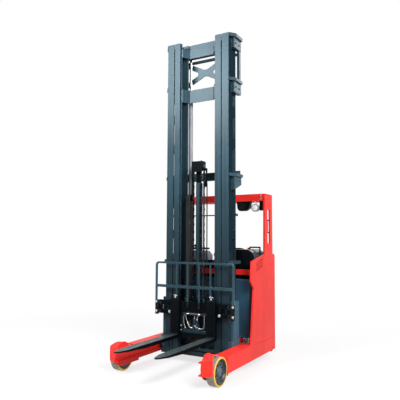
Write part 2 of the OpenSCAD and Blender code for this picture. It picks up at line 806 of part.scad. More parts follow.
// Hoses: place across the mast and height of their wheel, three on the left and one on the right
hose_z = [1925 * mast_k, 2085 * mast_k];
hose_runs = [[-142, hose_z[0]], [-124, hose_z[0]], [-106, hose_z[0]], [88, hose_z[1]]];
hose_d = 14;
hose_r = sheave_r + 2 + hose_d / 2;
hose_sheaves = [[[-152, -96], hose_z[0]], [[78, 98], hose_z[1]]];
arm_xs = [[-94, -86], [100, 108]];
arm_half = 14;
arm_end = 24;
// Chains and hoses end on shelves of the carriage and of the cylinder
shelf_x = [-152, 100];
shelf_z = [690, 700];
fall_end = shelf_z[1] + pin_gap;
rear_shelf_y = [free_y + 20, sheave_y + hose_r + hose_d / 2];
module free_lift_barrel() {
    color(slate) difference() {
        union() {
            rod_z(0, free_y, [seat_z[1], free_top], free_d);
            slab(shelf_x, rear_shelf_y, shelf_z);
        }
        rod_z(0, free_y, [free_bore_z, free_top + over], free_rod_d + 2 * pin_gap);
    }
}
module crosshead() {
    arm_y = [sheave_y - arm_half, sheave_y + arm_half];
    color(slate) {
        rod_z(0, free_y, [free_rod_z, head_z[0] + over], free_rod_d);
        slab([-head_half, head_half], [free_y - 30, free_y + 30], head_z);
        rod_x([-cap_x[1], cap_x[1]], sheave_y, sheave_z, head_pin_d);
        both() {
            rod_x(sheave_x, sheave_y, sheave_z, 2 * sheave_r - 2 * pin_gap);
            slab(cap_x, [cap_front, sheave_y + cap_half], [head_z[0], cap_z + cap_t]);
        }
        slab([-cap_x[1], cap_x[1]], [cap_front, sheave_y + cap_half], [cap_z, cap_z + cap_t]);
        slab([-cap_x[1], cap_x[1]], [cap_front, cap_front + cap_skin], [head_z[0] - cap_drop, cap_z + cap_t]);
        slab([arm_xs[0][0], arm_xs[1][1]], arm_y, [head_z[0], head_z[0] + arm_end]);
        for (i = [0, 1]) {
            rod_x(hose_sheaves[i][0], sheave_y, hose_sheaves[i][1], 2 * sheave_r + 4 - 2 * pin_gap);
            rod_x([min(hose_sheaves[i][0][0], arm_xs[i][0]), max(hose_sheaves[i][0][1], arm_xs[i][1])],
                sheave_y, hose_sheaves[i][1], head_pin_d);
            slab(arm_xs[i], arm_y, [hose_sheaves[i][1] - arm_end, head_z[0] + arm_end]);
        }
    }
}
// One fall of a chain: wide and narrow links in turn
function step_in(i) = (i % 2) * link_step;
module chain_fall(x, y) {
    pitch = (sheave_z - fall_end) / links;
    right = [for (i = [0 : links - 1]) for (t = [0, 1]) [x[1] - step_in(i), fall_end + (i + t) * pitch]];
    left = [for (i = [links - 1 : -1 : 0]) for (t = [1, 0]) [x[0] + step_in(i), fall_end + (i + t) * pitch]];
    plate_y(y) polygon(concat(right, left));
}
// Half turn over a wheel for a round or square section
module over_wheel(x, z) {
    translate([x, sheave_y, z]) rotate([0, 90, 0]) rotate([0, 0, 90]) rotate_extrude(angle = 180)
        children();
}
module chains() {
    color(black) both() {
        for (y = [sheave_y - sheave_r - chain_t, sheave_y + sheave_r])
            chain_fall(chain_x, [y, y + chain_t]);
        over_wheel(chain_x[0], sheave_z) translate([sheave_r, link_step])
            square([chain_t, chain_x[1] - chain_x[0] - 2 * link_step]);
    }
}
module hoses() {
    color(black) for (h = hose_runs) {
        for (s = [-1, 1]) rod_z(h[0], sheave_y + s * hose_r, [fall_end, h[1]], hose_d);
        over_wheel(h[0], h[1]) translate([hose_r, 0]) circle(d = hose_d, $fn = 24);
    }
}

// Lift carriage that runs on rollers inside the inner mast
cheek_x = [inner_rail[0] - 35, inner_rail[0] - 8];
carriage_y = [mast_y - 5, mast_y + 3];
carriage_z = [480, 775];
carriage_bars = [[490, 550], [640, shelf_z[1]]];
guide_d = inner_y[1] - inner_y[0] - 2 * inner_flange - 2 * pin_gap;
guide_zs = [530, 725];
front_shelf_y = [carriage_y[1] - 1, sheave_y - sheave_r];
pivot = [mast_y - 15, 740];
pivot_d = 24;
lug_xs = [134, 146];
lug_half = 16;
lug_low = pivot[1] - 25;
lug_top = pivot[1] + 22;
lug_back = 6;
module lift_carriage() {
    color(black) {
        both() {
            slab(cheek_x, [carriage_y[0], inner_y[1] - 19], carriage_z);
            for (z = guide_zs)
                rod_x([cheek_x[1] - 2, inner_rail[1] - 24], (inner_y[0] + inner_y[1]) / 2, z, guide_d);
            plate_x(lug_xs) polygon([[carriage_y[1], carriage_bars[1][1] - 10], [carriage_y[1], lug_top],
                [pivot[0] - lug_half, lug_top], [pivot[0] - lug_half, lug_low],
                [carriage_y[0] - lug_back, lug_low], [carriage_y[0] - lug_back, carriage_bars[1][1] - 10]]);
        }
        for (z = carriage_bars) slab([-cheek_x[1], cheek_x[1]], carriage_y, z);
        slab(shelf_x, front_shelf_y, shelf_z);
        rod_x([-lug_xs[1] - 6, lug_xs[1] + 6], pivot[0], pivot[1], pivot_d);
    }
}

// Tilting frame in front of the lift carriage, with runners for the fork carriage
bar_y = [mast_y - 55, mast_y - 37];
frame_y = [mast_y - 31, mast_y - 19];
frame_x = 206;
frame_zs = [318, 705];
frame_window = [[-166, 394], [166, 612]];
ear_x = [104, 128];
ear_d = 34;
runner_x = 178;
runners = [[324, 350], [640, 690]];
module tilt_frame() {
    color(slate) {
        both() difference() {
            union() {
                rod_x(ear_x, pivot[0], pivot[1], ear_d);
                slab(ear_x, [frame_y[0], pivot[0]], [frame_zs[1] - over, pivot[1]]);
            }
            rod_x([ear_x[0] - over, ear_x[1] + over], pivot[0], pivot[1], pivot_d + 2 * pin_gap);
        }
        plate_y(frame_y) difference() {
            round_rect([-frame_x, frame_zs[0]], [frame_x, frame_zs[1]], 20);
            round_rect(frame_window[0], frame_window[1], 26);
        }
        for (z = runners) slab([-runner_x, runner_x], [bar_y[1] + pin_gap, frame_y[0] + 1], z);
    }
}

// Side-shift cylinder on a strip across the top of the window
shift_z = 575;
shift_y = mast_y - 51;
shift_d = 36;
shift_half = 62;
shift_rod_d = 22;
strip_x = frame_window[1][0] + 6;
strip_half = 15;
module shift_cylinder() {
    color(steel) {
        rod_x([-shift_half, shift_half], shift_y, shift_z, shift_d);
        rod_x([-shift_half - 24, shift_half + 24], shift_y, shift_z, shift_rod_d);
        slab([-strip_x, strip_x], [shift_y + 15, frame_y[0]], [shift_z - strip_half, shift_z + strip_half]);
    }
}

// Side-shifting fork carriage with cut-outs
bar_x = half_w - 151;
bar_zs = [557, 715];
hook_zs = [310, 362];
post_xs = [184, 290];
end_windows = [bar_x - 139, bar_x - 53];
middle_gap = 168;
module fork_carriage() {
    color(black) {
        plate_y(bar_y) difference() {
            translate([-bar_x, bar_zs[0]]) square([2 * bar_x, bar_zs[1] - bar_zs[0]]);
            round_rect([end_windows[0], bar_zs[0] + 47], [end_windows[1], bar_zs[1] - 51], 8);
            mirror([1, 0]) round_rect([end_windows[0], bar_zs[0] + 47], [end_windows[1], bar_zs[1] - 51], 8);
            translate([-middle_gap, bar_zs[0] - over]) square([2 * middle_gap, 43 + over]);
        }
        both() slab(post_xs, bar_y, [hook_zs[0], bar_zs[0] + over]);
        slab([-post_xs[1], post_xs[1]], bar_y, hook_zs);
    }
}

// Forks with a tapered tip
shank_y = [bar_y[0] - 38, bar_y[0]];
tip_y = shank_y[0] - fork_len;
shank_top = bar_zs[1] + 41;
taper_y = tip_y + 455;
point_y = tip_y + 131;
point_in = 26;
nose_half = 14;
module fork_outline() {
    heel_z = fork_z - fork_t;
    polygon([[tip_y, fork_z - 12], [tip_y, fork_z], [shank_y[0] - 8, fork_z], [shank_y[0], fork_z + 8],
        [shank_y[0], shank_top - 20], [shank_y[0] + 18, shank_top], [shank_y[1], shank_top],
        [shank_y[1], fork_z], [shank_y[1] - 6, fork_z - 22], [shank_y[1] - 20, fork_z - 35],
        [shank_y[1] - 42, heel_z], [taper_y, heel_z]]);
}
module fork() {
    half = fork_w / 2;
    intersection() {
        plate_x([fork_x - half, fork_x + half]) fork_outline();
        translate([fork_x, 0, 0]) plate_z([fork_z - fork_t - over, shank_top + over])
            polygon([[-half, shank_y[1] + over], [-half, point_y], [-half + point_in, tip_y + 30],
                [-nose_half, tip_y], [nose_half, tip_y], [half - point_in, tip_y + 30], [half, point_y],
                [half, shank_y[1] + over]]);
    }
}
module forks() {
    color(black) both() fork();
}

// Load backrest
rest_y = [bar_y[0] - 18, bar_y[0]];
rest_x = half_w - 112;
rest_top = bar_zs[1] + 453;
rest_low = 545;
rest_bar = 22;
rest_r = 44;
rest_xs = [75, 224];
rest_half = 9;
rest_mid = [bar_zs[1] + 151, bar_zs[1] + 183];
foot_w = 42;
rest_feet = [bar_zs[1] - 75, bar_zs[1] + 55];
module backrest() {
    color(slate) {
        both() {
            slab([rest_x - rest_bar, rest_x], rest_y, [rest_low, rest_top - rest_r]);
            slab([rest_x - foot_w, rest_x], rest_y, [rest_low, bar_zs[1]]);
            slab([bar_x - 44, rest_x], rest_y, [bar_zs[0] + 3, bar_zs[0] + 43]);
            slab([bar_x - 44, rest_x], rest_y, [bar_zs[1] - 47, bar_zs[1] - 9]);
            slab([rest_xs[0] - rest_half, rest_xs[0] + rest_half], rest_y, [rest_feet[0], rest_top - 5]);
            slab([rest_xs[1] - rest_half, rest_xs[1] + rest_half], rest_y, [rest_feet[1], rest_top - 5]);
            plate_y(rest_y) intersection() {
                translate([rest_x - rest_r, rest_top - rest_r]) difference() {
                    circle(r = rest_r);
                    circle(r = rest_r - rest_bar);
                }
                translate([rest_x - rest_r, rest_top - rest_r]) square([rest_r, rest_r]);
            }
        }
        slab([-rest_x + rest_r, rest_x - rest_r], rest_y, [rest_top - rest_bar, rest_top]);
        slab([-rest_x + 5, rest_x - 5], rest_y, rest_mid);
    }
}

chassis();
wheel_hoods();
load_axles();
battery();
cross_bar();
side_panel_left();
side_panel_right();
rear_cover();
platform();
dash();
console();
steering_wheel();
grab_loop();
guard();
guard_handles();
work_lamp();
guard_boxes();
drive_motor();
reach_barrel();
load_tyre_left();
load_tyre_right();
load_hub_left();
load_hub_right();
drive_unit();
drive_wheel();
caster_fork();
caster_wheel();
reach_frame();
outer_mast();
mast_ties();
lift_barrels();
reach_rod();
middle_mast();
lift_rods();
inner_mast();
free_lift_barrel();
crosshead();
chains();
hoses();
lift_carriage();
tilt_frame();
shift_cylinder();
fork_carriage();
forks();
backrest();
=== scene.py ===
import json
import math
import bmesh
import bpy
from mathutils import Matrix, Vector


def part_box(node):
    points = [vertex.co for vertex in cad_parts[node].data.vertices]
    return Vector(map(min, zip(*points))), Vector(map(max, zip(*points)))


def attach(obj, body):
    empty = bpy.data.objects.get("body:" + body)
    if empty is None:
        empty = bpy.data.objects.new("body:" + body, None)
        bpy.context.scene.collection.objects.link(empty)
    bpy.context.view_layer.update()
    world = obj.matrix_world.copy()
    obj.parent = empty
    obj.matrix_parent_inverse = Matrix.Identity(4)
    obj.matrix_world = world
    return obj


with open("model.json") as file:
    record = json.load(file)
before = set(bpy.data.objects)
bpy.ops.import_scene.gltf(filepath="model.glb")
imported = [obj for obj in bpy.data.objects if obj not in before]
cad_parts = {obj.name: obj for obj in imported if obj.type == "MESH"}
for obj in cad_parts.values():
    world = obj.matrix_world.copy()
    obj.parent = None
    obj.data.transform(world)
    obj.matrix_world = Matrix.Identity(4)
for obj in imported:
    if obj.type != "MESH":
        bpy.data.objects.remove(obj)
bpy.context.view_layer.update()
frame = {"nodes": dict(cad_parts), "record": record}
nodes = frame["nodes"]
scene = bpy.context.scene
scene.view_settings.view_transform = "Standard"

cameraSpec = {"focal": 478.79, "pixels": 400.0, "sensor": 36.0, "yaw": 29.632, "pitch": 4.765, "roll": 0.2505,
              "place": (2.8195, -4.7399, 1.4263)}
sharpAngle = math.radians(34)


def faceOf(node, way):  # where a node's box ends, such as its "+Z" side
    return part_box(node)["-+".index(way[0])]["XYZ".index(way[1])]


def placeCamera(spec):
    yaw, pitch, roll = (math.radians(spec[k]) for k in ("yaw", "pitch", "roll"))
    fwd = Vector((-math.sin(yaw) * math.cos(pitch), math.cos(yaw) * math.cos(pitch), math.sin(pitch)))
    right = Vector((math.cos(yaw), math.sin(yaw), 0.0))
    up = right.cross(fwd)
    side = right * math.cos(roll) + up * math.sin(roll)
    top = up * math.cos(roll) - right * math.sin(roll)
    data = bpy.data.cameras.new("camera")
    data.sensor_width = spec["sensor"]
    data.lens = spec["focal"] / spec["pixels"] * spec["sensor"]  # the focal length is given in pixels
    obj = bpy.data.objects.new("camera", data)
    rows = [(side[i], top[i], -fwd[i], spec["place"][i]) for i in range(3)]
    obj.matrix_world = Matrix((*rows, (0, 0, 0, 1)))
    scene.collection.objects.link(obj)
    scene.camera = obj


placeCamera(cameraSpec)


# Shader values with ordinary arithmetic
class Val:
    def __init__(self, net, socket):
        self.net = net
        self.socket = socket

    def op(self, kind, other=None, swap=False):
        a, b = (other, self) if swap else (self, other)
        return self.net.node("ShaderNodeMath", {"operation": kind}, {0: a, 1: b})

    def __add__(self, other):
        return self.op("ADD", other)

    def __radd__(self, other):
        return self.op("ADD", other, True)

    def __sub__(self, other):
        return self.op("SUBTRACT", other)

    def __rsub__(self, other):
        return self.op("SUBTRACT", other, True)

    def __mul__(self, other):
        return self.op("MULTIPLY", other)

    def __rmul__(self, other):
        return self.op("MULTIPLY", other, True)

    def __abs__(self):
        return self.op("ABSOLUTE")


class Net:
    def __init__(self, name):
        self.mat = bpy.data.materials.new(name)
        self.mat.use_nodes = True
        self.tree = self.mat.node_tree
        self.tree.nodes.clear()
        self.out = self.tree.nodes.new("ShaderNodeOutputMaterial")
        self.place = self.node("ShaderNodeTexCoord", out="Object")

    def put(self, socket, value):
        if isinstance(value, Val):
            self.tree.links.new(value.socket, socket)
        elif value is not None:
            if socket.type == "RGBA" and len(value) == 3:
                value = (*value, 1.0)
            socket.default_value = value

    def node(self, kind, settings=None, sockets=None, out=0):
        n = self.tree.nodes.new(kind)
        for key, value in (settings or {}).items():
            setattr(n, key, value)
        for key, value in (sockets or {}).items():
            self.put(n.inputs[key], value)
        return Val(self, n.outputs[out])

    def noise(self, scale, detail=4.0, rough=0.55, stretch=None):
        where = self.place
        if stretch:
            where = self.node("ShaderNodeMapping", None, {"Vector": self.place, "Scale": stretch})
        return self.node("ShaderNodeTexNoise", None,
                         {"Vector": where, "Scale": scale, "Detail": detail, "Roughness": rough})

    def ramp(self, value, low, high, toLow=0.0, toHigh=1.0):
        sockets = {0: value, 1: low, 2: high, 3: toLow, 4: toHigh}
        return self.node("ShaderNodeMapRange", {"clamp": True}, sockets)

    def mix(self, factor, a, b):
        return self.node("ShaderNodeMix", {"data_type": "RGBA"}, {0: factor, 6: a, 7: b}, out=2)

    def axis(self, name):
        return self.node("ShaderNodeSeparateXYZ", None, {0: self.place}, out=name)

    def facing(self, name):
        normal = self.node("ShaderNodeTexCoord", out="Normal")
        return self.node("ShaderNodeSeparateXYZ", None, {0: normal}, out=name)

    def distance(self, centre, flat):
        here = self.node("ShaderNodeVectorMath", {"operation": "MULTIPLY"}, {0: self.place, 1: flat})
        return self.node("ShaderNodeVectorMath", {"operation": "DISTANCE"}, {0: here, 1: centre}, out="Value")

    def edge(self, radius):
        soft = self.node("ShaderNodeBevel", {"samples": 4}, {"Radius": radius})
        flat = self.node("ShaderNodeNewGeometry", out="Normal")
        turn = self.node("ShaderNodeVectorMath", {"operation": "DOT_PRODUCT"}, {0: soft, 1: flat},
                         out="Value")
        return self.ramp(turn, 0.995, 0.88)

    def bump(self, height, strength, distance=0.001, round=0.0):
        soft = self.node("ShaderNodeBevel", {"samples": 4}, {"Radius": round}) if round else None
        return self.node("ShaderNodeBump", None,
                         {"Height": height, "Strength": strength, "Distance": distance, "Normal": soft})

    def surface(self, sockets, dull=None):
        shader = self.node("ShaderNodeBsdfPrincipled", None, sockets)
        if dull is not None:  # share of the surface with no gloss
            flat = self.node("ShaderNodeBsdfPrincipled", None, {**sockets, "Specular IOR Level": 0.0})
            shader = self.node("ShaderNodeMixShader", None, {0: dull, 1: shader, 2: flat})
        self.tree.links.new(shader.socket, self.out.inputs[0])
        return self.mat


look = {
    "red": (0.840, 0.028, 0.020),
    "slate": (0.030, 0.068, 0.092),
    "black": (0.0020, 0.0030, 0.0040),
    "blueGrey": (0.036, 0.106, 0.170),
    "liftGrey": (0.300, 0.330, 0.360),
    "pale": (0.380, 0.385, 0.470),
    "yellow": (0.800, 0.470, 0.030),
    "tread": (0.400, 0.370, 0.310),
    "dust": (0.330, 0.315, 0.290),
    "bare": (0.360, 0.360, 0.355),
    "rubbedAndSheen": (0.150, 0.205, 0.215),
    "scuff": (0.060, 0.056, 0.050),
    "hubDark": (0.016, 0.022, 0.027),
    "hubPale": (0.034, 0.046, 0.055),
    "hubRim": (0.004, 0.004, 0.005),
    "hubBoss": (0.085, 0.105, 0.120),
    "dashCover": (0.012, 0.022, 0.028),
    "dashBloom": (0.040, 0.046, 0.050),
    "rodDark": (0.42, 0.43, 0.45),
    "rodPale": (0.62, 0.63, 0.65),
    "steel": (0.55, 0.56, 0.57),
    "chrome": (0.70, 0.71, 0.73),
    "rubber": (0.012, 0.012, 0.013),
    "lampWhite": (0.74, 0.75, 0.76),
    "screen": (0.004, 0.005, 0.007),
    "knobRed": (0.55, 0.012, 0.010),
    "lens": (0.86, 0.88, 0.90),
}


def shades(colour, low, high):
    return tuple(c * low for c in colour), tuple(min(1.0, c * high) for c in colour)


# Sprayed steel: broad shade, runs down the sides, dust low down and on top, chips along the edges
def paint(name, colour, roughness, coat=0.0, wear=0.4, dust=0.25, streak=0.2, gloss=0.5, round=0.003):
    net = Net(name)
    broad = net.noise(2.2, 3.0)
    fine = net.noise(55.0, 5.0, 0.6)
    runs = net.noise(9.0, 4.0, 0.6, stretch=(3.0, 3.0, 0.14))
    dark, pale = shades(colour, 0.86, 1.10)
    shade = net.mix(net.ramp(broad, 0.35, 0.68), dark, pale)
    shade = net.mix(net.ramp(runs, 0.50, 0.74) * streak, shade, shades(colour, 0.55, 1.0)[0])
    low = net.ramp(net.axis("Z"), 0.45, 0.05) * 0.5
    above = net.ramp(net.facing("Z"), 0.6, 0.95) * 0.6
    dusty = net.ramp(fine, 0.42, 0.74) * (low + above + 0.12) * dust
    shade = net.mix(dusty, shade, look["dust"])
    chipped = net.edge(0.005) * net.ramp(fine, 0.53, 0.60) * wear
    shade = net.mix(chipped, shade, look["bare"])
    rough = net.ramp(fine, 0.3, 0.7, roughness - 0.05, roughness + 0.07) + dusty * 0.5
    rough = rough + net.ramp(runs, 0.4, 0.8) * 0.08
    peel = net.noise(240.0, 2.0)
    return net.surface({"Base Color": shade, "Roughness": rough, "Metallic": chipped * 0.7,
                        "Coat Weight": coat, "Coat Roughness": 0.08, "Specular IOR Level": gloss,
                        "Normal": net.bump(peel + fine * 0.6, 0.10, 0.0008, round)})


# Ground, turned or plated metal with brush marks along one axis
def metal(name, colour, roughness, brush=(40.0, 40.0, 40.0), round=0.0015):
    net = Net(name)
    marks = net.noise(12.0, 5.0, 0.65, stretch=brush)
    stain = net.noise(5.0, 4.0)
    shade = net.mix(net.ramp(marks, 0.3, 0.7), *shades(colour, 0.82, 1.05))
    shade = net.mix(net.ramp(stain, 0.55, 0.75) * 0.45, shade, shades(colour, 0.45, 1.0)[0])
    rough = net.ramp(marks, 0.3, 0.7, roughness * 0.7, roughness * 1.3) + net.ramp(stain, 0.5, 0.8) * 0.12
    return net.surface({"Base Color": shade, "Roughness": rough, "Metallic": 1.0,
                        "Normal": net.bump(marks, 0.08, 0.0006, round)})


# Moulded plastic and rubber with a fine grain
def moulded(name, colour, roughness, grain=500.0, depth=0.18, dust=0.15, gloss=0.2, round=0.003):
    net = Net(name)
    broad = net.noise(4.0, 3.0)
    grainy = net.noise(grain, 3.0, 0.6)
    scuff = net.noise(14.0, 6.0, 0.7, stretch=(1.0, 4.0, 1.0))
    shade = net.mix(net.ramp(broad, 0.35, 0.7), *shades(colour, 0.82, 1.15))
    worn = net.ramp(scuff, 0.58, 0.80) * dust + net.edge(0.004) * 0.10
    shade = net.mix(worn, shade, look["dust"])
    rough = net.ramp(grainy, 0.3, 0.7, roughness - 0.06, roughness + 0.06) + worn * 0.3
    return net.surface({"Base Color": shade, "Roughness": rough, "Specular IOR Level": gloss,
                        "Normal": net.bump(grainy, depth, 0.0005, round)})


# Mast and carriage steel: satin slate with runs of grease; painted shade darkens the webs of the outer rails
# and the rails towards the forks, and painted light pales the reach carriage's sides
railKit = {"side": faceOf("outer_mast", "+X"), "paintedWebShadeFrom": (1.20, 1.30), "lowShadeFrom": (2.30, 1.30),
           "paintedSideLightFrom": (0.80, 0.76)}


def railPaint(name, colour, lowShade=0.85, blackBelow=None):
    net = Net(name)
    broad = net.noise(1.6, 3.0)
    fine = net.noise(60.0, 5.0, 0.6)
    runs = net.noise(16.0, 4.0, 0.6, stretch=(3.0, 3.0, 0.05))
    dark, pale = shades(colour, 0.80, 1.14)
    shade = net.mix(net.ramp(broad, 0.35, 0.68), dark, pale)
    grease = net.ramp(runs, 0.46, 0.70) * 0.55
    shade = net.mix(grease, shade, shades(colour, 0.34, 1.0)[0])
    rail, across, height = railKit["side"], abs(net.axis("X")), net.axis("Z")
    aside = net.ramp(abs(net.facing("X")), 0.7, 0.9)
    paintedWebShade = aside * net.ramp(across, rail - 0.015, rail - 0.008) * net.ramp(across, rail + 0.010, rail + 0.004)
    paintedWebShade = paintedWebShade * net.ramp(height, *railKit["paintedWebShadeFrom"])
    shade = net.mix(paintedWebShade * 0.8, shade, shades(colour, 0.22, 1.0)[0])  # painted shade: dark webs of the outer rails
    # painted shade: the rails get darker lower down, towards the forks
    paintedLowShade = net.ramp(height, *railKit["lowShadeFrom"]) * net.ramp(across, rail + 0.008, rail)
    shade = net.mix(paintedLowShade * lowShade, shade, shades(colour, 0.30, 1.0)[0])
    paintedSideLight = aside * net.ramp(across, rail + 0.008, rail + 0.014) * net.ramp(height, *railKit["paintedSideLightFrom"])
    shade = net.mix(paintedSideLight * 0.8, shade, shades(colour, 1.0, 2.2)[1])  # painted light: paler sides of the reach carriage
    if blackBelow:
        shade = net.mix(net.ramp(height, blackBelow + 0.002, blackBelow - 0.002), shade, look["black"])
    chipped = net.edge(0.005) * net.ramp(fine, 0.50, 0.58) * 0.5
    shade = net.mix(chipped, shade, look["bare"])
    rough = net.ramp(fine, 0.3, 0.7, 0.275, 0.305) - grease * 0.05
    peel = net.noise(260.0, 2.0)
    return net.surface({"Base Color": shade, "Roughness": rough, "Metallic": chipped * 0.6,
                        "Specular Tint": (0.72, 0.90, 1.0), "Specular IOR Level": 0.16,
                        "Normal": net.bump(peel + fine * 0.5, 0.02, 0.0008, 0.003)}, dull=paintedWebShade)


# Forks and carriage: black enamel, the blade tops rubbed grey by pallets and lightened with a painted sheen
def forkPaint(name, colour):
    net = Net(name)
    fine = net.noise(70.0, 5.0, 0.6)
    drag = net.noise(18.0, 5.0, 0.65, stretch=(5.0, 0.35, 3.0))
    dark, pale = shades(colour, 0.8, 1.5)
    shade = net.mix(net.ramp(net.noise(3.0, 3.0), 0.35, 0.7), dark, pale)
    # blade tops: rubbed wear plus a painted sheen of light falling from above
    blade = net.ramp(net.axis("Y"), 0.05, -0.10) * net.ramp(net.facing("Z"), 0.4, 0.8)
    rubbedAndSheen = blade * net.ramp(drag, 0.36, 0.62, 0.25, 0.95)
    rubbedAndSheen = rubbedAndSheen + net.edge(0.004) * net.ramp(fine, 0.50, 0.58) * 0.45
    shade = net.mix(rubbedAndSheen * 0.65, shade, look["rubbedAndSheen"])
    rough = net.ramp(fine, 0.3, 0.7, 0.32, 0.46) - rubbedAndSheen * 0.06
    return net.surface({"Base Color": shade, "Roughness": rough, "Metallic": rubbedAndSheen * 0.6,
                        "Specular IOR Level": 0.03,
                        "Normal": net.bump(fine + drag * 0.5, 0.14, 0.0008, 0.003)})


# Polyurethane: grey tread with scuffs, bare yellow on the sides
def tyreRubber(name):
    net = Net(name)
    fine = net.noise(90.0, 5.0, 0.65)
    drag = net.noise(20.0, 5.0, 0.6, stretch=(0.4, 4.0, 4.0))
    side = net.ramp(abs(net.facing("X")), 0.45, 0.62)
    tread = net.mix(net.ramp(drag, 0.35, 0.65), *shades(look["tread"], 0.70, 1.10))
    flank = net.mix(net.ramp(fine, 0.35, 0.75), *shades(look["yellow"], 1.03, 0.86))
    shade = net.mix(side, tread, flank)
    shade = net.mix(net.ramp(fine, 0.60, 0.78) * 0.35, shade, look["scuff"])
    rough = net.ramp(fine, 0.3, 0.7, 0.46, 0.62) - side * 0.1
    return net.surface({"Base Color": shade, "Roughness": rough,
                        "Normal": net.bump(fine + drag, 0.2, 0.0008, 0.002)})


# Cast hub: black rim, dark dish, grey boss
hubKit = {"centre": (-0.47, 0.1425), "rim": (0.098, 0.104), "boss": (0.050, 0.044)}


def hubPaint(name):
    net = Net(name)
    fine = net.noise(80.0, 5.0, 0.6)
    away = net.distance((0.0, *hubKit["centre"]), (0.0, 1.0, 1.0))
    shade = net.mix(net.ramp(net.noise(18.0, 3.0), 0.3, 0.7), look["hubDark"], look["hubPale"])
    shade = net.mix(net.ramp(away, *hubKit["rim"]), shade, look["hubRim"])
    shade = net.mix(net.ramp(away, *hubKit["boss"]), shade, look["hubBoss"])
    shade = net.mix(net.ramp(fine, 0.58, 0.75) * 0.25, shade, look["dust"])
    return net.surface({"Base Color": shade, "Roughness": net.ramp(fine, 0.3, 0.7, 0.34, 0.52),
                        "Normal": net.bump(fine, 0.2, 0.001, 0.003)})


# Dash: grained black front, glossy dark cover over its top and shoulder
def dashPlastic(name):
    net = Net(name)
    grain = net.noise(520.0, 3.0, 0.6)
    broad = net.noise(5.0, 3.0)
    cover = net.ramp(net.facing("Z") + net.facing("X") * 0.8, 0.25, 0.45)
    shade = net.mix(cover, look["black"], look["dashCover"])
    shade = net.mix(net.ramp(broad, 0.5, 0.75) * 0.2, shade, look["dashBloom"])
    rough = net.ramp(grain, 0.3, 0.7, 0.46, 0.58) - cover * 0.26
    return net.surface({"Base Color": shade, "Roughness": rough, "Coat Weight": cover * 0.08,
                        "Specular IOR Level": 0.05, "Normal": net.bump(grain, 0.12, 0.0004, 0.004)})


# Battery tank: dark blue-grey, with painted shade darkening the cut corners
def tankPaint(name):
    net = Net(name)
    fine = net.noise(60.0, 5.0, 0.6)
    runs = net.noise(10.0, 4.0, 0.6, stretch=(3.0, 3.0, 0.12))
    cornerShade = net.ramp(abs(net.facing("X")), 0.4, 0.6) * net.ramp(abs(net.facing("Y")), 0.4, 0.6)
    shade = net.mix(net.ramp(net.noise(2.0, 3.0), 0.35, 0.7), *shades(look["blueGrey"], 0.80, 1.20))
    # painted shade: the cut corners darker
    shade = net.mix(cornerShade, shade, look["slate"])
    shade = net.mix(net.ramp(runs, 0.52, 0.76) * 0.3, shade, shades(look["blueGrey"], 0.4, 1.0)[0])
    worn = net.edge(0.005) * net.ramp(fine, 0.52, 0.60) * 0.4
    shade = net.mix(worn, shade, look["bare"])
    rough = net.ramp(fine, 0.3, 0.7, 0.34, 0.48)
    return net.surface({"Base Color": shade, "Roughness": rough, "Coat Weight": 0.05,
                        "Specular IOR Level": 0.25, "Normal": net.bump(fine, 0.12, 0.0008, 0.004)})


# Side-shift cylinder: black barrel, plated rods at both ends
shiftKit = {"barrelEnd": (0.0618, 0.0622), "rodBack": (0.0982, 0.0978)}


def shiftSteel(name):
    net = Net(name)
    marks = net.noise(14.0, 5.0, 0.6, stretch=(0.5, 12.0, 12.0))
    rod = net.ramp(abs(net.axis("X")), *shiftKit["barrelEnd"]) * net.ramp(net.axis("Y"), *shiftKit["rodBack"])
    shade = net.mix(rod, net.mix(marks, *shades(look["black"], 0.8, 2.2)),
                    net.mix(marks, look["rodDark"], look["rodPale"]))
    return net.surface({"Base Color": shade, "Roughness": net.ramp(marks, 0.3, 0.7, 0.30, 0.44) - rod * 0.2,
                        "Metallic": rod, "Normal": net.bump(marks, 0.06, 0.0005, 0.002)})


mats = {
    "red_paint": paint("redPaint", look["red"], 0.36, coat=0.03, wear=0.30, dust=0.10, streak=0.06,
                       gloss=0.12),
    "slate_paint": railPaint("slatePaint", look["slate"]),
    "black_paint": forkPaint("blackPaint", look["black"]),
    "blue_grey_paint": tankPaint("tankPaint"),
    "bright_steel": metal("brightSteel", look["steel"], 0.30),
    "chrome": metal("chromePlate", look["chrome"], 0.12, brush=(30.0, 30.0, 2.0)),
    "black_plastic": moulded("blackPlastic", look["black"], 0.45, gloss=0.08),
    "pale_plastic": moulded("palePlastic", look["pale"], 0.42, dust=0.08),
    "rubber": moulded("blackRubber", look["rubber"], 0.70, grain=220.0, depth=0.3, dust=0.35),
    "polyurethane": tyreRubber("tyreRubber"),
    "lamp_white": moulded("lampWhite", look["lampWhite"], 0.25, dust=0.05),
    "lift_grey": paint("liftGrey", look["liftGrey"], 0.35, wear=0.1, dust=0.1, streak=0.35),
}
special = {"load_hub_left": hubPaint("hubPaint"), "dash": dashPlastic("dashPlastic"),
           "shift_cylinder": shiftSteel("shiftSteel")}
special["load_hub_right"] = special["load_hub_left"]
special["crosshead"] = mats["black_paint"]
special["backrest"] = railPaint("restPaint", look["slate"], lowShade=0.35,
                                blackBelow=faceOf("fork_carriage", "+Z"))
glassBlack = moulded("screenBlack", look["screen"], 0.10, depth=0.02, dust=0.03, gloss=0.5)
knobRed = moulded("knobRed", look["knobRed"], 0.35, dust=0.05)
lensClear = moulded("lensClear", look["lens"], 0.10, grain=90.0, depth=0.25, dust=0.0, gloss=0.5)
for part in frame["record"]["subparts"]:
    obj = nodes[part["node"]]
    obj.data.materials.clear()
    obj.data.materials.append(special.get(part["node"], mats[part["material_slot"]]))
print("materials", len(bpy.data.materials))


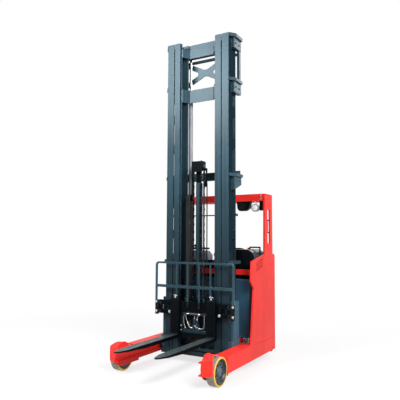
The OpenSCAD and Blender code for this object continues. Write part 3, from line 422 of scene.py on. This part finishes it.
# Mesh tools
def addBox(bm, lo, hi, bevel=0.002):
    size = [hi[i] - lo[i] for i in range(3)]
    centre = [(hi[i] + lo[i]) / 2 for i in range(3)]
    made = bmesh.ops.create_cube(bm, size=1.0, matrix=Matrix.LocRotScale(centre, None, size))
    edges = list({e for v in made["verts"] for e in v.link_edges})
    offset = min(bevel, min(size) * 0.45)
    bmesh.ops.bevel(bm, geom=edges, offset=offset, segments=2, profile=0.5, affect="EDGES")


def closeRings(bm, rings):  # skin over rings of points, capped at both ends
    for low, high in zip(rings, rings[1:]):
        for i in range(len(low)):
            j = (i + 1) % len(low)
            bm.faces.new((low[i], low[j], high[j], high[i]))
    bm.faces.new(list(reversed(rings[0])))
    bm.faces.new(rings[-1])


def addLathe(bm, profile, place, axis, steps=28):  # profile rows are radius and height along the axis
    turn = Vector(axis).to_track_quat("Z", "Y").to_matrix()
    rings = []
    for radius, height in profile:
        ring = []
        for i in range(steps):
            a = 2 * math.pi * i / steps
            spot = Vector((radius * math.cos(a), radius * math.sin(a), height))
            ring.append(bm.verts.new(Vector(place) + turn @ spot))
        rings.append(ring)
    closeRings(bm, rings)


def addTube(bm, points, radius, steps=12, wobble=0.0):
    points = [Vector(p) for p in points]
    side = None
    rings = []
    for i, p in enumerate(points):
        along = (points[min(i + 1, len(points) - 1)] - points[max(i - 1, 0)]).normalized()
        if side is None:
            side = along.orthogonal().normalized()
        side = (side - along * side.dot(along)).normalized()
        other = along.cross(side)
        r = radius * (1.0 + wobble * math.sin(i * 2.1))
        rings.append([bm.verts.new(p + (side * math.cos(a) + other * math.sin(a)) * r)
                      for a in (2 * math.pi * k / steps for k in range(steps))])
    closeRings(bm, rings)


def bend(corners, radius, steps=6):  # path with rounded corners
    corners = [Vector(c) for c in corners]
    path = [corners[0]]
    for a, b, c in zip(corners, corners[1:], corners[2:]):
        start, end = b + (a - b).normalized() * radius, b + (c - b).normalized() * radius
        for k in range(steps + 1):
            t = k / steps
            path.append(start.lerp(b, t).lerp(b.lerp(end, t), t))
    return path + [corners[-1]]


def addPrism(bm, outline, lo, hi):  # outline points are y and z, drawn out along X
    low = [bm.verts.new((lo, y, z)) for y, z in outline]
    high = [bm.verts.new((hi, y, z)) for y, z in outline]
    bm.faces.new(low)
    bm.faces.new(list(reversed(high)))
    for i in range(len(outline)):
        j = (i + 1) % len(outline)
        bm.faces.new((low[i], high[i], high[j], low[j]))


def settle(obj, body):
    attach(obj, body)


def finishPiece(name, bm, body, slotName, mat=None):
    bmesh.ops.recalc_face_normals(bm, faces=bm.faces)
    mesh = bpy.data.meshes.new(name)
    bm.to_mesh(mesh)
    bm.free()
    mesh.shade_smooth()
    mesh.set_sharp_from_angle(angle=sharpAngle)
    mesh.materials.append(mat or mats[slotName])
    obj = bpy.data.objects.new(name, mesh)
    scene.collection.objects.link(obj)
    settle(obj, body)


# Geometry node trees for what repeats
def newTree(name, inputs):
    tree = bpy.data.node_groups.new(name, "GeometryNodeTree")
    tree.interface.new_socket("Geometry", in_out="INPUT", socket_type="NodeSocketGeometry")
    for label, kind in inputs:
        tree.interface.new_socket(label, in_out="INPUT", socket_type="NodeSocket" + kind)
    tree.interface.new_socket("Geometry", in_out="OUTPUT", socket_type="NodeSocketGeometry")
    return tree, tree.nodes.new("NodeGroupInput"), tree.nodes.new("NodeGroupOutput")


def geoNode(tree, kind, settings=None, sockets=None):
    n = tree.nodes.new(kind)
    for key, value in (settings or {}).items():
        setattr(n, key, value)
    for key, value in (sockets or {}).items():
        if isinstance(value, bpy.types.NodeSocket):
            tree.links.new(value, n.inputs[key])
        else:
            n.inputs[key].default_value = value
    return n


def endTree(tree, given, out, instances):
    real = geoNode(tree, "GeometryNodeRealizeInstances", None, {0: instances.outputs[0]})
    done = geoNode(tree, "GeometryNodeSetMaterial", None,
                   {0: real.outputs[0], "Material": given.outputs["Finish"]})
    tree.links.new(done.outputs[0], out.inputs[0])
    return tree


def boltTree():  # head with a washer on every point, turned along the point's aim
    tree, given, out = newTree("boltHeads", [("Head Radius", "Float"), ("Head Height", "Float"),
                                             ("Sides", "Int"), ("Washer", "Float"), ("Finish", "Material")])
    head = geoNode(tree, "GeometryNodeMeshCylinder", None,
                   {"Vertices": given.outputs["Sides"], "Radius": given.outputs["Head Radius"],
                    "Depth": given.outputs["Head Height"]})
    ring = geoNode(tree, "GeometryNodeMeshCylinder", None,
                   {"Vertices": 14, "Radius": given.outputs["Washer"], "Depth": 0.003})
    both = geoNode(tree, "GeometryNodeJoinGeometry")
    tree.links.new(head.outputs[0], both.inputs[0])
    tree.links.new(ring.outputs[0], both.inputs[0])
    aim = geoNode(tree, "GeometryNodeInputNamedAttribute", {"data_type": "FLOAT_VECTOR"}, {"Name": "aim"})
    turn = geoNode(tree, "FunctionNodeAlignRotationToVector", {"axis": "Z"}, {"Vector": aim.outputs[0]})
    spread = geoNode(tree, "GeometryNodeInstanceOnPoints", None,
                     {"Points": given.outputs[0], "Instance": both.outputs[0], "Rotation": turn.outputs[0]})
    return endTree(tree, given, out, spread)


def rowTree():  # bars in a row
    tree, given, out = newTree("barRow", [("Count", "Int"), ("Start", "Vector"), ("Step", "Vector"),
                                          ("Size", "Vector"), ("Finish", "Material")])
    line = geoNode(tree, "GeometryNodeMeshLine", {"mode": "OFFSET"},
                   {"Count": given.outputs["Count"], "Start Location": given.outputs["Start"],
                    "Offset": given.outputs["Step"]})
    bar = geoNode(tree, "GeometryNodeMeshCube", None, {"Size": given.outputs["Size"]})
    spread = geoNode(tree, "GeometryNodeInstanceOnPoints", None,
                     {"Points": line.outputs[0], "Instance": bar.outputs[0]})
    return endTree(tree, given, out, spread)


trees = {"bolts": boltTree(), "row": rowTree()}


def grow(name, mesh, tree, values, body, slotName):
    obj = bpy.data.objects.new(name, mesh)
    scene.collection.objects.link(obj)
    modifier = obj.modifiers.new("nodes", "NODES")
    modifier.node_group = tree
    values = {**values, "Finish": mats[slotName]}
    for item in tree.interface.items_tree:
        if item.in_out == "INPUT" and item.name in values:
            modifier[item.identifier] = values[item.name]
    made = bpy.data.meshes.new_from_object(obj.evaluated_get(bpy.context.evaluated_depsgraph_get()))
    obj.modifiers.remove(modifier)
    obj.data = made
    made.shade_smooth()
    made.set_sharp_from_angle(angle=sharpAngle)
    settle(obj, body)


def bolts(name, spots, body, radius, height, slotName="bright_steel", sides=6, washer=1.45):
    mesh = bpy.data.meshes.new(name + "Points")
    mesh.from_pydata([place for place, way in spots], [], [])
    aim = mesh.attributes.new("aim", "FLOAT_VECTOR", "POINT")
    aim.data.foreach_set("vector", [c for place, way in spots for c in way])
    values = {"Head Radius": radius, "Head Height": height * 2, "Sides": sides, "Washer": radius * washer}
    grow(name, mesh, trees["bolts"], values, body, slotName)


def row(name, kit, body, slotName):
    values = {"Count": kit["count"], "Start": kit["start"], "Step": kit["step"], "Size": kit["size"]}
    grow(name, bpy.data.meshes.new(name + "Start"), trees["row"], values, body, slotName)


def mirrored(spots):
    return [((s * p[0], p[1], p[2]), (s * d[0], d[1], d[2])) for p, d in spots for s in (1, -1)]


front, back, up, out, inward = (0, -1, 0), (0, 1, 0), (0, 0, 1), (1, 0, 0), (-1, 0, 0)

# Load wheels: cap over the axle and bolts round the dish
wheelKit = {"bolts": 8, "ring": 0.070, "boltRadius": 0.006, "boltHeight": 0.006, "dishDepth": 0.021,
            "bossDepth": 0.009, "cap": 0.036}


def loadWheel(side, s):
    y, z = hubKit["centre"]
    face, ring = faceOf("load_hub_right", "+X"), wheelKit["ring"]
    dish, boss = (s * (face - wheelKit[k]) for k in ("dishDepth", "bossDepth"))
    spots = []
    for i in range(wheelKit["bolts"]):
        a = 2 * math.pi * (i + 0.5) / wheelKit["bolts"]
        spots.append(((dish, y + ring * math.cos(a), z + ring * math.sin(a)), (s, 0, 0)))
    bolts("wheelBolts" + side.capitalize(), spots, "load_wheel_" + side, wheelKit["boltRadius"],
          wheelKit["boltHeight"], "black_paint")
    bm = bmesh.new()
    r = wheelKit["cap"]
    profile = [(r, -0.004), (r, 0.002), (r - 0.004, 0.005), (r * 0.55, 0.007), (r * 0.5, 0.004),
               (0.006, 0.004), (0.005, 0.007), (0.002, 0.008)]
    addLathe(bm, profile, (boss, y, z), (s, 0, 0))
    finishPiece("hubCap" + side.capitalize(), bm, "load_wheel_" + side, "slate_paint",
                special["load_hub_left"])


for side, s in (("left", -1), ("right", 1)):
    loadWheel(side, s)

# Backrest and fork carriage: bolts
restKit = {"x": 0.507, "heights": (0.691, 0.581), "radius": 0.010, "height": 0.008}
spots = mirrored([((restKit["x"], faceOf("backrest", "-Y"), z), front) for z in restKit["heights"]])
bolts("restBolts", spots, "shift", restKit["radius"], restKit["height"])
barKit = {"x": 0.33, "z": 0.584, "radius": 0.012, "height": 0.010}
spots = mirrored([((barKit["x"], faceOf("fork_carriage", "-Y"), barKit["z"]), front)])
bolts("barBolts", spots, "shift", barKit["radius"], barKit["height"])

# Forks: a sprung latch on each shank, a hook behind each heel and a stop on the bar
forkKit = {"x": 0.238, "latchY": 0.062, "handle": 0.022, "wire": 0.004, "hookHalf": 0.045,
           "latch": [(0.014, -0.004), (0.014, 0.006), (0.009, 0.009), (0.008, 0.020), (0.012, 0.023),
                     (0.012, 0.030), (0.006, 0.034)],
           "hook": [(0.052, 0.372), (0.080, 0.372), (0.080, 0.396), (0.062, 0.404), (0.052, 0.398)],
           "stops": (0.351, -0.449), "stopHalf": 0.003, "stopY": (0.0735, 0.080), "stopZ": (0.606, 0.662)}
bm = bmesh.new()
y, z, half = forkKit["latchY"], faceOf("forks", "+Z"), forkKit["handle"]
for s in (1, -1):
    x = s * forkKit["x"]
    addLathe(bm, forkKit["latch"], (x, y, z), up, 18)
    handle = [(x - half, y, z + 0.026), (x + half, y, z + 0.026), (x + half, y + 0.012, z + 0.004)]
    addTube(bm, bend(handle, 0.008), forkKit["wire"], 8)
finishPiece("forkLatches", bm, "shift", "bright_steel")
bm = bmesh.new()
(y0, y1), (z0, z1), half = forkKit["stopY"], forkKit["stopZ"], forkKit["stopHalf"]
for s, stop in zip((1, -1), forkKit["stops"]):
    x = s * forkKit["x"]
    addPrism(bm, forkKit["hook"], x - forkKit["hookHalf"], x + forkKit["hookHalf"])
    addBox(bm, (stop - half, y0, z0), (stop + half, y1, z1), 0.001)
finishPiece("forkHooks", bm, "shift", "black_paint")

# Valve block and pipes in the carriage's window, on the tilting frame; pipes and unions are x and z
valveKit = {
    "block": ((-0.030, 0.101, 0.394), (0.050, 0.119, 0.452)),
    "coils": [((-0.020, 0.099, 0.452), (0.012, 0.117, 0.520)),
              ((0.022, 0.099, 0.452), (0.044, 0.117, 0.506))],
    "clip": ((-0.140, 0.104, 0.394), (-0.118, 0.116, 0.410)),
    "pipeY": 0.110, "pipe": 0.0042, "bend": 0.018,
    "pipes": [[(-0.128, 0.405), (-0.150, 0.470), (-0.150, 0.548), (-0.120, 0.566)],
              [(-0.030, 0.415), (-0.070, 0.415), (-0.120, 0.520), (-0.120, 0.562)],
              [(0.050, 0.412), (0.104, 0.412), (0.124, 0.440), (0.124, 0.562)],
              [(0.033, 0.506), (0.033, 0.545), (0.060, 0.562)],
              [(-0.004, 0.520), (-0.004, 0.562)]],
    "union": [(0.0095, -0.004), (0.0095, 0.006), (0.0075, 0.008), (0.0075, 0.014), (0.006, 0.016)],
    "unions": [(-0.128, 0.409, up), (-0.034, 0.415, inward), (0.054, 0.412, out), (0.033, 0.508, up),
               (-0.004, 0.522, up)],
    "plugs": [(0.012, 0.440), (0.034, 0.425)],
    "boltX": 0.186, "boltY": 0.104, "boltZ": (0.430, 0.380), "boltRadius": 0.008, "boltHeight": 0.005,
}
bm = bmesh.new()
for lo, hi in (valveKit["block"], *valveKit["coils"]):
    addBox(bm, lo, hi, 0.003)
addBox(bm, *valveKit["clip"], 0.002)
finishPiece("valveBlock", bm, "tilt", "slate_paint")
bm = bmesh.new()
y = valveKit["pipeY"]
for path in valveKit["pipes"]:
    addTube(bm, bend([(x, y, z) for x, z in path], valveKit["bend"]), valveKit["pipe"])
for x, z, axis in valveKit["unions"]:
    addLathe(bm, valveKit["union"], (x, y, z), axis, 12)
for x, z in valveKit["plugs"]:
    addLathe(bm, valveKit["union"], (x, valveKit["block"][0][1], z), front, 12)
finishPiece("valvePipes", bm, "tilt", "bright_steel")
spots = mirrored([((valveKit["boltX"], valveKit["boltY"], z), front) for z in valveKit["boltZ"]])
bolts("tiltBolts", spots, "tilt", valveKit["boltRadius"], valveKit["boltHeight"])

# Lift chains: pins through the links
chainKit = {"x": (0.0375, 0.0605), "y": (0.152, 0.228), "low": faceOf("chains", "-Z"), "high": 2.296,
            "links": 36, "pin": 0.0042}
pitch = (chainKit["high"] - chainKit["low"]) / chainKit["links"]
spots = []
for s in (1, -1):
    x = s * sum(chainKit["x"]) / 2
    for y in chainKit["y"]:
        spots += [((x, y, chainKit["low"] + (i + 0.5) * pitch), out) for i in range(chainKit["links"])]
half = (chainKit["x"][1] - chainKit["x"][0]) / 2
bolts("chainPins", spots, "head", chainKit["pin"], half, "slate_paint", sides=8, washer=1.0)

# Crosshead: nuts on its axle and top, a cap on its side
headKit = {"axle": (0.070, 0.190, 2.296), "topX": 0.048, "topY": (0.160, 0.222), "capY": 0.190, "capZ": 1.925,
           "axleNut": [(0.022, 0.0), (0.022, 0.004), (0.015, 0.005), (0.015, 0.011), (0.009, 0.013)],
           "topNut": [(0.010, 0.0), (0.010, 0.006), (0.006, 0.008)],
           "cap": [(0.020, 0.0), (0.020, 0.004), (0.012, 0.010)]}
bm = bmesh.new()
x, y, z = headKit["axle"]
for s in (1, -1):
    addLathe(bm, headKit["axleNut"], (s * x, y, z), (s, 0, 0), 18)
    for topY in headKit["topY"]:
        addLathe(bm, headKit["topNut"], (s * headKit["topX"], topY, faceOf("crosshead", "+Z")), up, 8)
addLathe(bm, headKit["cap"], (faceOf("crosshead", "-X"), headKit["capY"], headKit["capZ"]), inward, 18)
finishPiece("headNuts", bm, "head", "slate_paint")

# Lift cylinders: a gland on top and a collar at the foot of each barrel
liftKit = {"x": 0.190, "y": 0.314, "barrel": 0.027, "rod": 0.0195, "foot": 0.150}
r = liftKit["barrel"]
gland = [(r + 0.0005, -0.060), (r + 0.005, -0.058), (r + 0.005, -0.012), (r + 0.001, -0.008),
         (r + 0.001, 0.0), (liftKit["rod"], 0.002)]
collar = [(r + 0.0005, 0.0), (r + 0.004, 0.004), (r + 0.004, 0.040), (r + 0.0005, 0.044)]
bm = bmesh.new()
for s in (1, -1):
    addLathe(bm, gland, (s * liftKit["x"], liftKit["y"], faceOf("lift_barrels", "+Z")), up)
    addLathe(bm, collar, (s * liftKit["x"], liftKit["y"], liftKit["foot"]), up)
finishPiece("liftGlands", bm, "reach", "black_paint")

# Lift pipes: from the foot of each cylinder up behind the outer rail, held by clips
pipeKit = {"x": 0.400, "y": 0.3335, "radius": 0.006, "port": (0.222, 0.175), "turn": 0.30, "low": 0.215,
           "top": 3.05, "bend": 0.03, "clips": (0.52, 0.98, 1.48, 1.96, 2.40, 2.92), "clipX": 0.014,
           "clipY": (0.325, 0.341), "clipZ": 0.008}
bm = bmesh.new()
for s in (1, -1):
    x, y = s * pipeKit["x"], pipeKit["y"]
    portX, portZ = pipeKit["port"]
    route = [(s * portX, liftKit["y"], portZ), (s * pipeKit["turn"], liftKit["y"] + 0.01, portZ),
             (x, y, pipeKit["low"]), (x, y, pipeKit["top"])]
    addTube(bm, bend(route, pipeKit["bend"]), pipeKit["radius"], 10)
    for z in pipeKit["clips"]:
        addBox(bm, (x - pipeKit["clipX"], pipeKit["clipY"][0], z - pipeKit["clipZ"]),
               (x + pipeKit["clipX"], pipeKit["clipY"][1], z + pipeKit["clipZ"]), 0.002)
finishPiece("liftPipes", bm, "reach", "bright_steel")

# Mast: bolts on its brackets and on the reach carriage
mastKit = {"bracketX": 0.466, "bracketY": (0.245, 0.335), "bracketZ": (3.750, 3.220, 2.120), "plateX": 0.470,
           "plateY": (0.190, 0.270), "plateZ": (0.330, 0.640), "radius": 0.010, "height": 0.008}
spots = []
for z in mastKit["bracketZ"]:
    spots += mirrored([((mastKit["bracketX"], y, z), out) for y in mastKit["bracketY"]])
for y in mastKit["plateY"]:
    spots += mirrored([((mastKit["plateX"], y, z), out) for z in mastKit["plateZ"]])
bolts("mastBolts", spots, "reach", mastKit["radius"], mastKit["height"], "slate_paint")

# Weld seams beside the rails: depth, foot and top of each
weldKit = {"out": 0.001, "radius": 0.0035, "ripple": 0.22, "step": 0.006,
           "seams": ((0.204, 3.690, 3.815), (0.204, 3.155, 3.285), (0.204, 2.010, 2.160),
                     (0.157, 0.32, 0.735))}
bm = bmesh.new()
x = faceOf("outer_mast", "+X") + weldKit["out"]
for s in (1, -1):
    for y, foot, top in weldKit["seams"]:
        count = int((top - foot) / weldKit["step"])
        seam = [(s * x, y, foot + (top - foot) * i / count) for i in range(count + 1)]
        addTube(bm, seam, weldKit["radius"], 8, weldKit["ripple"])
finishPiece("mastWelds", bm, "reach", "slate_paint")

# Catch that holds the battery, on the right leg
catchKit = {"x": (0.482, 0.570), "y": (0.352, 0.3945), "z": (0.258, 0.318), "thick": 0.008, "pin": 0.007,
            "wire": 0.005}
bm = bmesh.new()
(x0, x1), (y0, y1), (z0, z1) = (catchKit[k] for k in "xyz")
thick = catchKit["thick"]
addBox(bm, (x0, y0, z0), (x1, y1, z0 + thick), 0.002)
cheek = [(y0 + 0.004, z0), (y1, z0), (y1, z1 - 0.006), (y1 - 0.010, z1), (y1 - 0.024, z1 - 0.002),
         (y0 + 0.006, z0 + 0.024)]
for x in (x0 + thick, x1 - 2 * thick):
    addPrism(bm, cheek, x, x + thick)
pinY, pinZ = y1 - 0.017, z1 - 0.014
addTube(bm, [(x0 + 0.002, pinY, pinZ), (x1 - 0.002, pinY, pinZ)], catchKit["pin"])
bail = [(x0 + 0.030, pinY, pinZ), (x0 + 0.030, y0 + 0.002, z0 + 0.030), (x1 - 0.030, y0 + 0.002, z0 + 0.030),
        (x1 - 0.030, pinY, pinZ)]
addTube(bm, bend(bail, 0.010), catchKit["wire"])
finishPiece("batteryCatch", bm, "truck", "bright_steel")

# Battery tank: rolled rims and pressed ribs on its front
tankKit = {"half": 0.550, "rimDepth": 0.0055, "ribDepth": 0.0045, "sunk": 0.0005, "rims": (0.304, 0.953),
           "rimHeight": 0.020, "ribs": (-0.36, -0.12, 0.12, 0.36), "ribHalf": 0.030, "ribZ": (0.37, 0.90)}
bm = bmesh.new()
face = faceOf("battery", "-Y")
inside = face + tankKit["sunk"]
for z in tankKit["rims"]:
    addBox(bm, (-tankKit["half"], face - tankKit["rimDepth"], z),
           (tankKit["half"], inside, z + tankKit["rimHeight"]), 0.002)
for x in tankKit["ribs"]:
    addBox(bm, (x - tankKit["ribHalf"], face - tankKit["ribDepth"], tankKit["ribZ"][0]),
           (x + tankKit["ribHalf"], inside, tankKit["ribZ"][1]), 0.004)
finishPiece("tankRims", bm, "truck", "blue_grey_paint")

# Dash: screen, key and stop button on the desk, levers beside the console and a trim bar on it
dashKit = {"screenX": (0.18, 0.32), "screenY": (0.665, 0.765), "levers": (0.010, 0.050, 0.090),
           "leverY": 0.570, "leverRod": 0.0045, "leverPlate": ((-0.015, 0.520), (0.115, 0.630)),
           "trim": ((-0.30, 0.540, 1.2905), (-0.09, 0.560, 1.2965)), "stop": (0.40, 0.735),
           "key": (0.455, 0.740),
           "boot": [(0.016, 0.0), (0.016, 0.004), (0.011, 0.010), (0.007, 0.014)],
           "knob": [(0.005, 0.0), (0.009, 0.006), (0.012, 0.018), (0.0125, 0.034), (0.009, 0.044),
                    (0.003, 0.047)],
           "lock": [(0.014, 0.0), (0.014, 0.004), (0.010, 0.006), (0.004, 0.006)],
           "button": [(0.012, 0.0), (0.012, 0.006), (0.019, 0.008), (0.020, 0.012), (0.016, 0.016),
                      (0.006, 0.018)]}
(x0, x1), (y0, y1) = dashKit["screenX"], dashKit["screenY"]
top, shelf, leverY = faceOf("dash", "+Z"), faceOf("console", "-Z"), dashKit["leverY"]
housing = [(y0, top), (y0, top + 0.012), (y0 + 0.008, top + 0.015), (y1, top + 0.006), (y1, top)]
glass = [(y0 + 0.014, top + 0.0140), (y0 + 0.014, top + 0.0152), (y1 - 0.010, top + 0.0080),
         (y1 - 0.010, top + 0.0068)]
bm = bmesh.new()
addPrism(bm, housing, x0, x1)
lo, hi = dashKit["leverPlate"]
addBox(bm, (*lo, shelf), (*hi, shelf + 0.008), 0.003)
for x in dashKit["levers"]:
    addLathe(bm, dashKit["boot"], (x, leverY, shelf + 0.007), up, 18)
    addLathe(bm, dashKit["knob"], (x, leverY + 0.006, shelf + 0.055), (0, 0.12, 1), 18)
addBox(bm, *dashKit["trim"], 0.002)
finishPiece("dashControls", bm, "truck", "black_plastic")
bm = bmesh.new()
for x in dashKit["levers"]:
    addTube(bm, [(x, leverY, shelf + 0.014), (x, leverY + 0.006, shelf + 0.060)], dashKit["leverRod"], 10)
addLathe(bm, dashKit["lock"], (*dashKit["key"], top), up, 20)
finishPiece("leverRods", bm, "truck", "bright_steel")
bm = bmesh.new()
addLathe(bm, dashKit["button"], (*dashKit["stop"], top), up, 24)
finishPiece("stopButton", bm, "truck", "red_paint", knobRed)
bm = bmesh.new()
addPrism(bm, glass, x0 + 0.010, x1 - 0.010)
finishPiece("dashScreen", bm, "truck", "black_plastic", glassBlack)

# Steering knob and cap on the hand wheel
steerKit = {"centre": (-0.225, 0.620), "height": 0.020, "rim": 0.112, "turn": 150,
            "knob": [(0.009, 0.0), (0.009, 0.012), (0.018, 0.018), (0.021, 0.030), (0.018, 0.040),
                     (0.007, 0.045)],
            "cap": [(0.034, 0.0), (0.032, 0.006), (0.020, 0.010), (0.004, 0.011)]}
bm = bmesh.new()
a, rim = math.radians(steerKit["turn"]), steerKit["rim"]
x, y = steerKit["centre"]
z = faceOf("steering_wheel", "-Z") + steerKit["height"]
addLathe(bm, steerKit["knob"], (x + rim * math.cos(a), y + rim * math.sin(a), z), up, 22)
addLathe(bm, steerKit["cap"], (x, y, z), up, 28)
finishPiece("steeringKnob", bm, "truck", "black_plastic")

# Operator's floor: ribs on the mat and two pedals
floorTop = faceOf("platform", "+Z")
ribKit = {"count": 24, "start": (-0.198, 0.672, floorTop + 0.0012), "step": (0.0, 0.0135, 0.0),
          "size": (0.620, 0.005, 0.0030)}
row("matRibs", ribKit, "truck", "rubber")
pedalKit = {"x": (-0.34, -0.16), "half": 0.055, "y": (0.690, 0.790), "z": (0.0005, 0.013), "ribs": 6,
            "ribHalf": 0.048, "ribY": 0.699, "ribStep": 0.0155, "ribWidth": 0.006, "ribZ": (0.0125, 0.0155)}
bm = bmesh.new()
z0, z1, ribLow, ribTop = (floorTop + h for h in (*pedalKit["z"], *pedalKit["ribZ"]))
half, ribHalf = pedalKit["half"], pedalKit["ribHalf"]
for x in pedalKit["x"]:
    addBox(bm, (x - half, pedalKit["y"][0], z0), (x + half, pedalKit["y"][1], z1), 0.004)
    for k in range(pedalKit["ribs"]):
        y = pedalKit["ribY"] + k * pedalKit["ribStep"]
        addBox(bm, (x - ribHalf, y, ribLow), (x + ribHalf, y + pedalKit["ribWidth"], ribTop), 0.001)
finishPiece("pedals", bm, "truck", "rubber")

# Rear cover: louvres, frame, pull and lock
cover = faceOf("rear_cover", "+Y")
louvreKit = {"count": 11, "start": (0.370, cover + 0.0025, 0.700), "step": (0.0, 0.0, 0.022),
             "size": (0.300, 0.006, 0.010)}
row("coverLouvres", louvreKit, "truck", "black_plastic")
coverKit = {"posts": (0.140, 0.592), "bars": (0.312, 0.640, 1.096), "width": 0.008, "sunk": 0.001,
            "depth": 0.003, "sheet": ((0.205, 0.680), (0.535, 0.940)), "sheetDepth": 0.0015,
            "pullX": (0.300, 0.440), "pullZ": 1.010, "pullDepth": 0.0055, "wire": 0.0042, "lockX": 0.545,
            "lock": [(0.014, 0.0), (0.014, 0.004), (0.010, 0.006), (0.003, 0.005)]}
bm = bmesh.new()
(left, right), low, high = coverKit["posts"], coverKit["bars"][0], coverKit["bars"][-1]
inside, outside, width = cover - coverKit["sunk"], cover + coverKit["depth"], coverKit["width"]
for x in (left, right):
    addBox(bm, (x, inside, low), (x + width, outside, high + width), 0.0015)
for z in coverKit["bars"]:
    addBox(bm, (left, inside, z), (right + width, outside, z + width), 0.0015)
(x0, z0), (x1, z1) = coverKit["sheet"]
addBox(bm, (x0, inside, z0), (x1, cover + coverKit["sheetDepth"], z1), 0.001)
finishPiece("coverFrame", bm, "truck", "red_paint")
bm = bmesh.new()
(x0, x1), z, grip = coverKit["pullX"], coverKit["pullZ"], cover + coverKit["pullDepth"]
pull = [(x0, inside, z), (x0, grip, z), (x1, grip, z), (x1, inside, z)]
addTube(bm, bend(pull, 0.003), coverKit["wire"], 10)
addLathe(bm, coverKit["lock"], (coverKit["lockX"], cover, z), back, 20)
finishPiece("coverPull", bm, "truck", "black_plastic")

# Overhead guard: bolts in its posts and front beam
guardKit = {"postY": (0.705, 0.905), "postZ": (1.292, 1.345), "beamX": 0.575, "beamY": 0.700,
            "beamZ": (1.930, 1.968), "radius": 0.009, "height": 0.007}
spots = []
for y in guardKit["postY"]:
    spots += mirrored([((faceOf("side_panel_right", "-X"), y, z), inward) for z in guardKit["postZ"]])
spots += mirrored([((guardKit["beamX"], guardKit["beamY"], z), front) for z in guardKit["beamZ"]])
bolts("guardBolts", spots, "truck", guardKit["radius"], guardKit["height"])

# Work lamp: bezel, rear cap and lens
lampKit = {"centre": (0.504, 1.822), "radius": 0.044, "rear": [(0.024, 0.0), (0.020, 0.012), (0.008, 0.016)]}
x, z = lampKit["centre"]
r = lampKit["radius"]
bezel = [(r, -0.020), (r + 0.004, -0.018), (r + 0.004, 0.003), (r - 0.004, 0.006), (r - 0.007, 0.002)]
lens = [(r - 0.006, 0.0), (r - 0.007, 0.003), (r * 0.6, 0.006), (r * 0.25, 0.0075), (0.003, 0.008)]
bm = bmesh.new()
addLathe(bm, bezel, (x, faceOf("work_lamp", "-Y"), z), front, 36)
addLathe(bm, lampKit["rear"], (x, faceOf("work_lamp", "+Y"), z), back, 24)
finishPiece("lampBezel", bm, "truck", "lift_grey")
bm = bmesh.new()
addLathe(bm, lens, (x, faceOf("work_lamp", "-Y"), z), front, 36)
finishPiece("lampLens", bm, "truck", "lamp_white", lensClear)

# Slats on the box beside the lamp
slatKit = {"count": 5, "start": (0.335, 0.7045, 1.812), "step": (0.0, 0.0, 0.013),
           "size": (0.090, 0.004, 0.005)}
row("boxSlats", slatKit, "truck", "black_plastic")

# Studio: soft lamps, pale floor, white behind
lights = {
    "keyLight": {"place": (6.5, -3.5, 5.5), "target": (0.4, 0.2, 1.2), "size": (4.0, 4.0), "power": 860.0},
    "frontLight": {"place": (-2.9, -5.2, 5.4), "target": (0, 0.1, 2.9), "size": (2.0, 2.4), "power": 530.0},
    "rimLight": {"place": (1.0, 6.5, 5.5), "target": (0, 0, 1.6), "size": (5.0, 3.0), "power": 220.0},
}
for name, spec in lights.items():
    data = bpy.data.lights.new(name, "AREA")
    data.shape = "RECTANGLE"
    data.size, data.size_y = spec["size"]
    data.energy = spec["power"]
    lamp = bpy.data.objects.new(name, data)
    lamp.location = spec["place"]
    lamp.rotation_euler = (Vector(spec["target"]) - Vector(spec["place"])).to_track_quat("-Z", "Y").to_euler()
    scene.collection.objects.link(lamp)

studio = {"soft": 0.26, "softColour": (0.93, 0.96, 1.0), "floorSize": 60.0, "floorColour": (0.86, 0.86, 0.86),
          "floorBounce": (0.40, 0.40, 0.40), "floorGlow": (0.72, 1.0), "floorFade": (1.6, 5.0)}
straightRays = ("Is Camera Ray", "Is Glossy Ray", "Is Transmission Ray")

world = bpy.data.worlds.new("studio")
scene.world = world
world.use_nodes = True
tree = world.node_tree
tree.nodes.clear()
rays = tree.nodes.new("ShaderNodeLightPath")
plus = [tree.nodes.new("ShaderNodeMath") for _ in range(2)]
for n in plus:
    n.use_clamp = True
soft, white = (tree.nodes.new("ShaderNodeBackground") for _ in range(2))
soft.inputs[0].default_value = (*studio["softColour"], 1.0)
soft.inputs[1].default_value = studio["soft"]
white.inputs[0].default_value = (1.0, 1.0, 1.0, 1.0)
seen = tree.nodes.new("ShaderNodeMixShader")
worldOut = tree.nodes.new("ShaderNodeOutputWorld")
tree.links.new(rays.outputs[straightRays[0]], plus[0].inputs[0])
tree.links.new(rays.outputs[straightRays[1]], plus[0].inputs[1])
tree.links.new(plus[0].outputs[0], plus[1].inputs[0])
tree.links.new(rays.outputs[straightRays[2]], plus[1].inputs[1])
tree.links.new(plus[1].outputs[0], seen.inputs[0])
tree.links.new(soft.outputs[0], seen.inputs[1])
tree.links.new(white.outputs[0], seen.inputs[2])
tree.links.new(seen.outputs[0], worldOut.inputs[0])

bpy.ops.mesh.primitive_plane_add(size=studio["floorSize"])
floor = bpy.context.object
floor.name = "floor"
net = Net("floorWhite")
straight = sum((net.node("ShaderNodeLightPath", out=k) for k in straightRays), 0.0)
dim = net.node("ShaderNodeBsdfDiffuse", None, {"Color": studio["floorBounce"]})
pale = net.node("ShaderNodeBsdfDiffuse", None, {"Color": studio["floorColour"]})
lit = net.node("ShaderNodeMixShader", None, {0: straight, 1: dim, 2: pale})
glow = net.node("ShaderNodeEmission", None, {"Color": (1.0, 1.0, 1.0), "Strength": 1.0})
away = net.distance((0.0, 0.0, 0.0), (1.0, 1.0, 0.0))
share = straight * net.ramp(away, *studio["floorFade"], *studio["floorGlow"])
blend = net.node("ShaderNodeMixShader", None, {0: share, 1: lit, 2: glow})
net.tree.links.new(blend.socket, net.out.inputs[0])
floor.data.materials.append(net.mat)
print("studio", len(lights), "lamps")
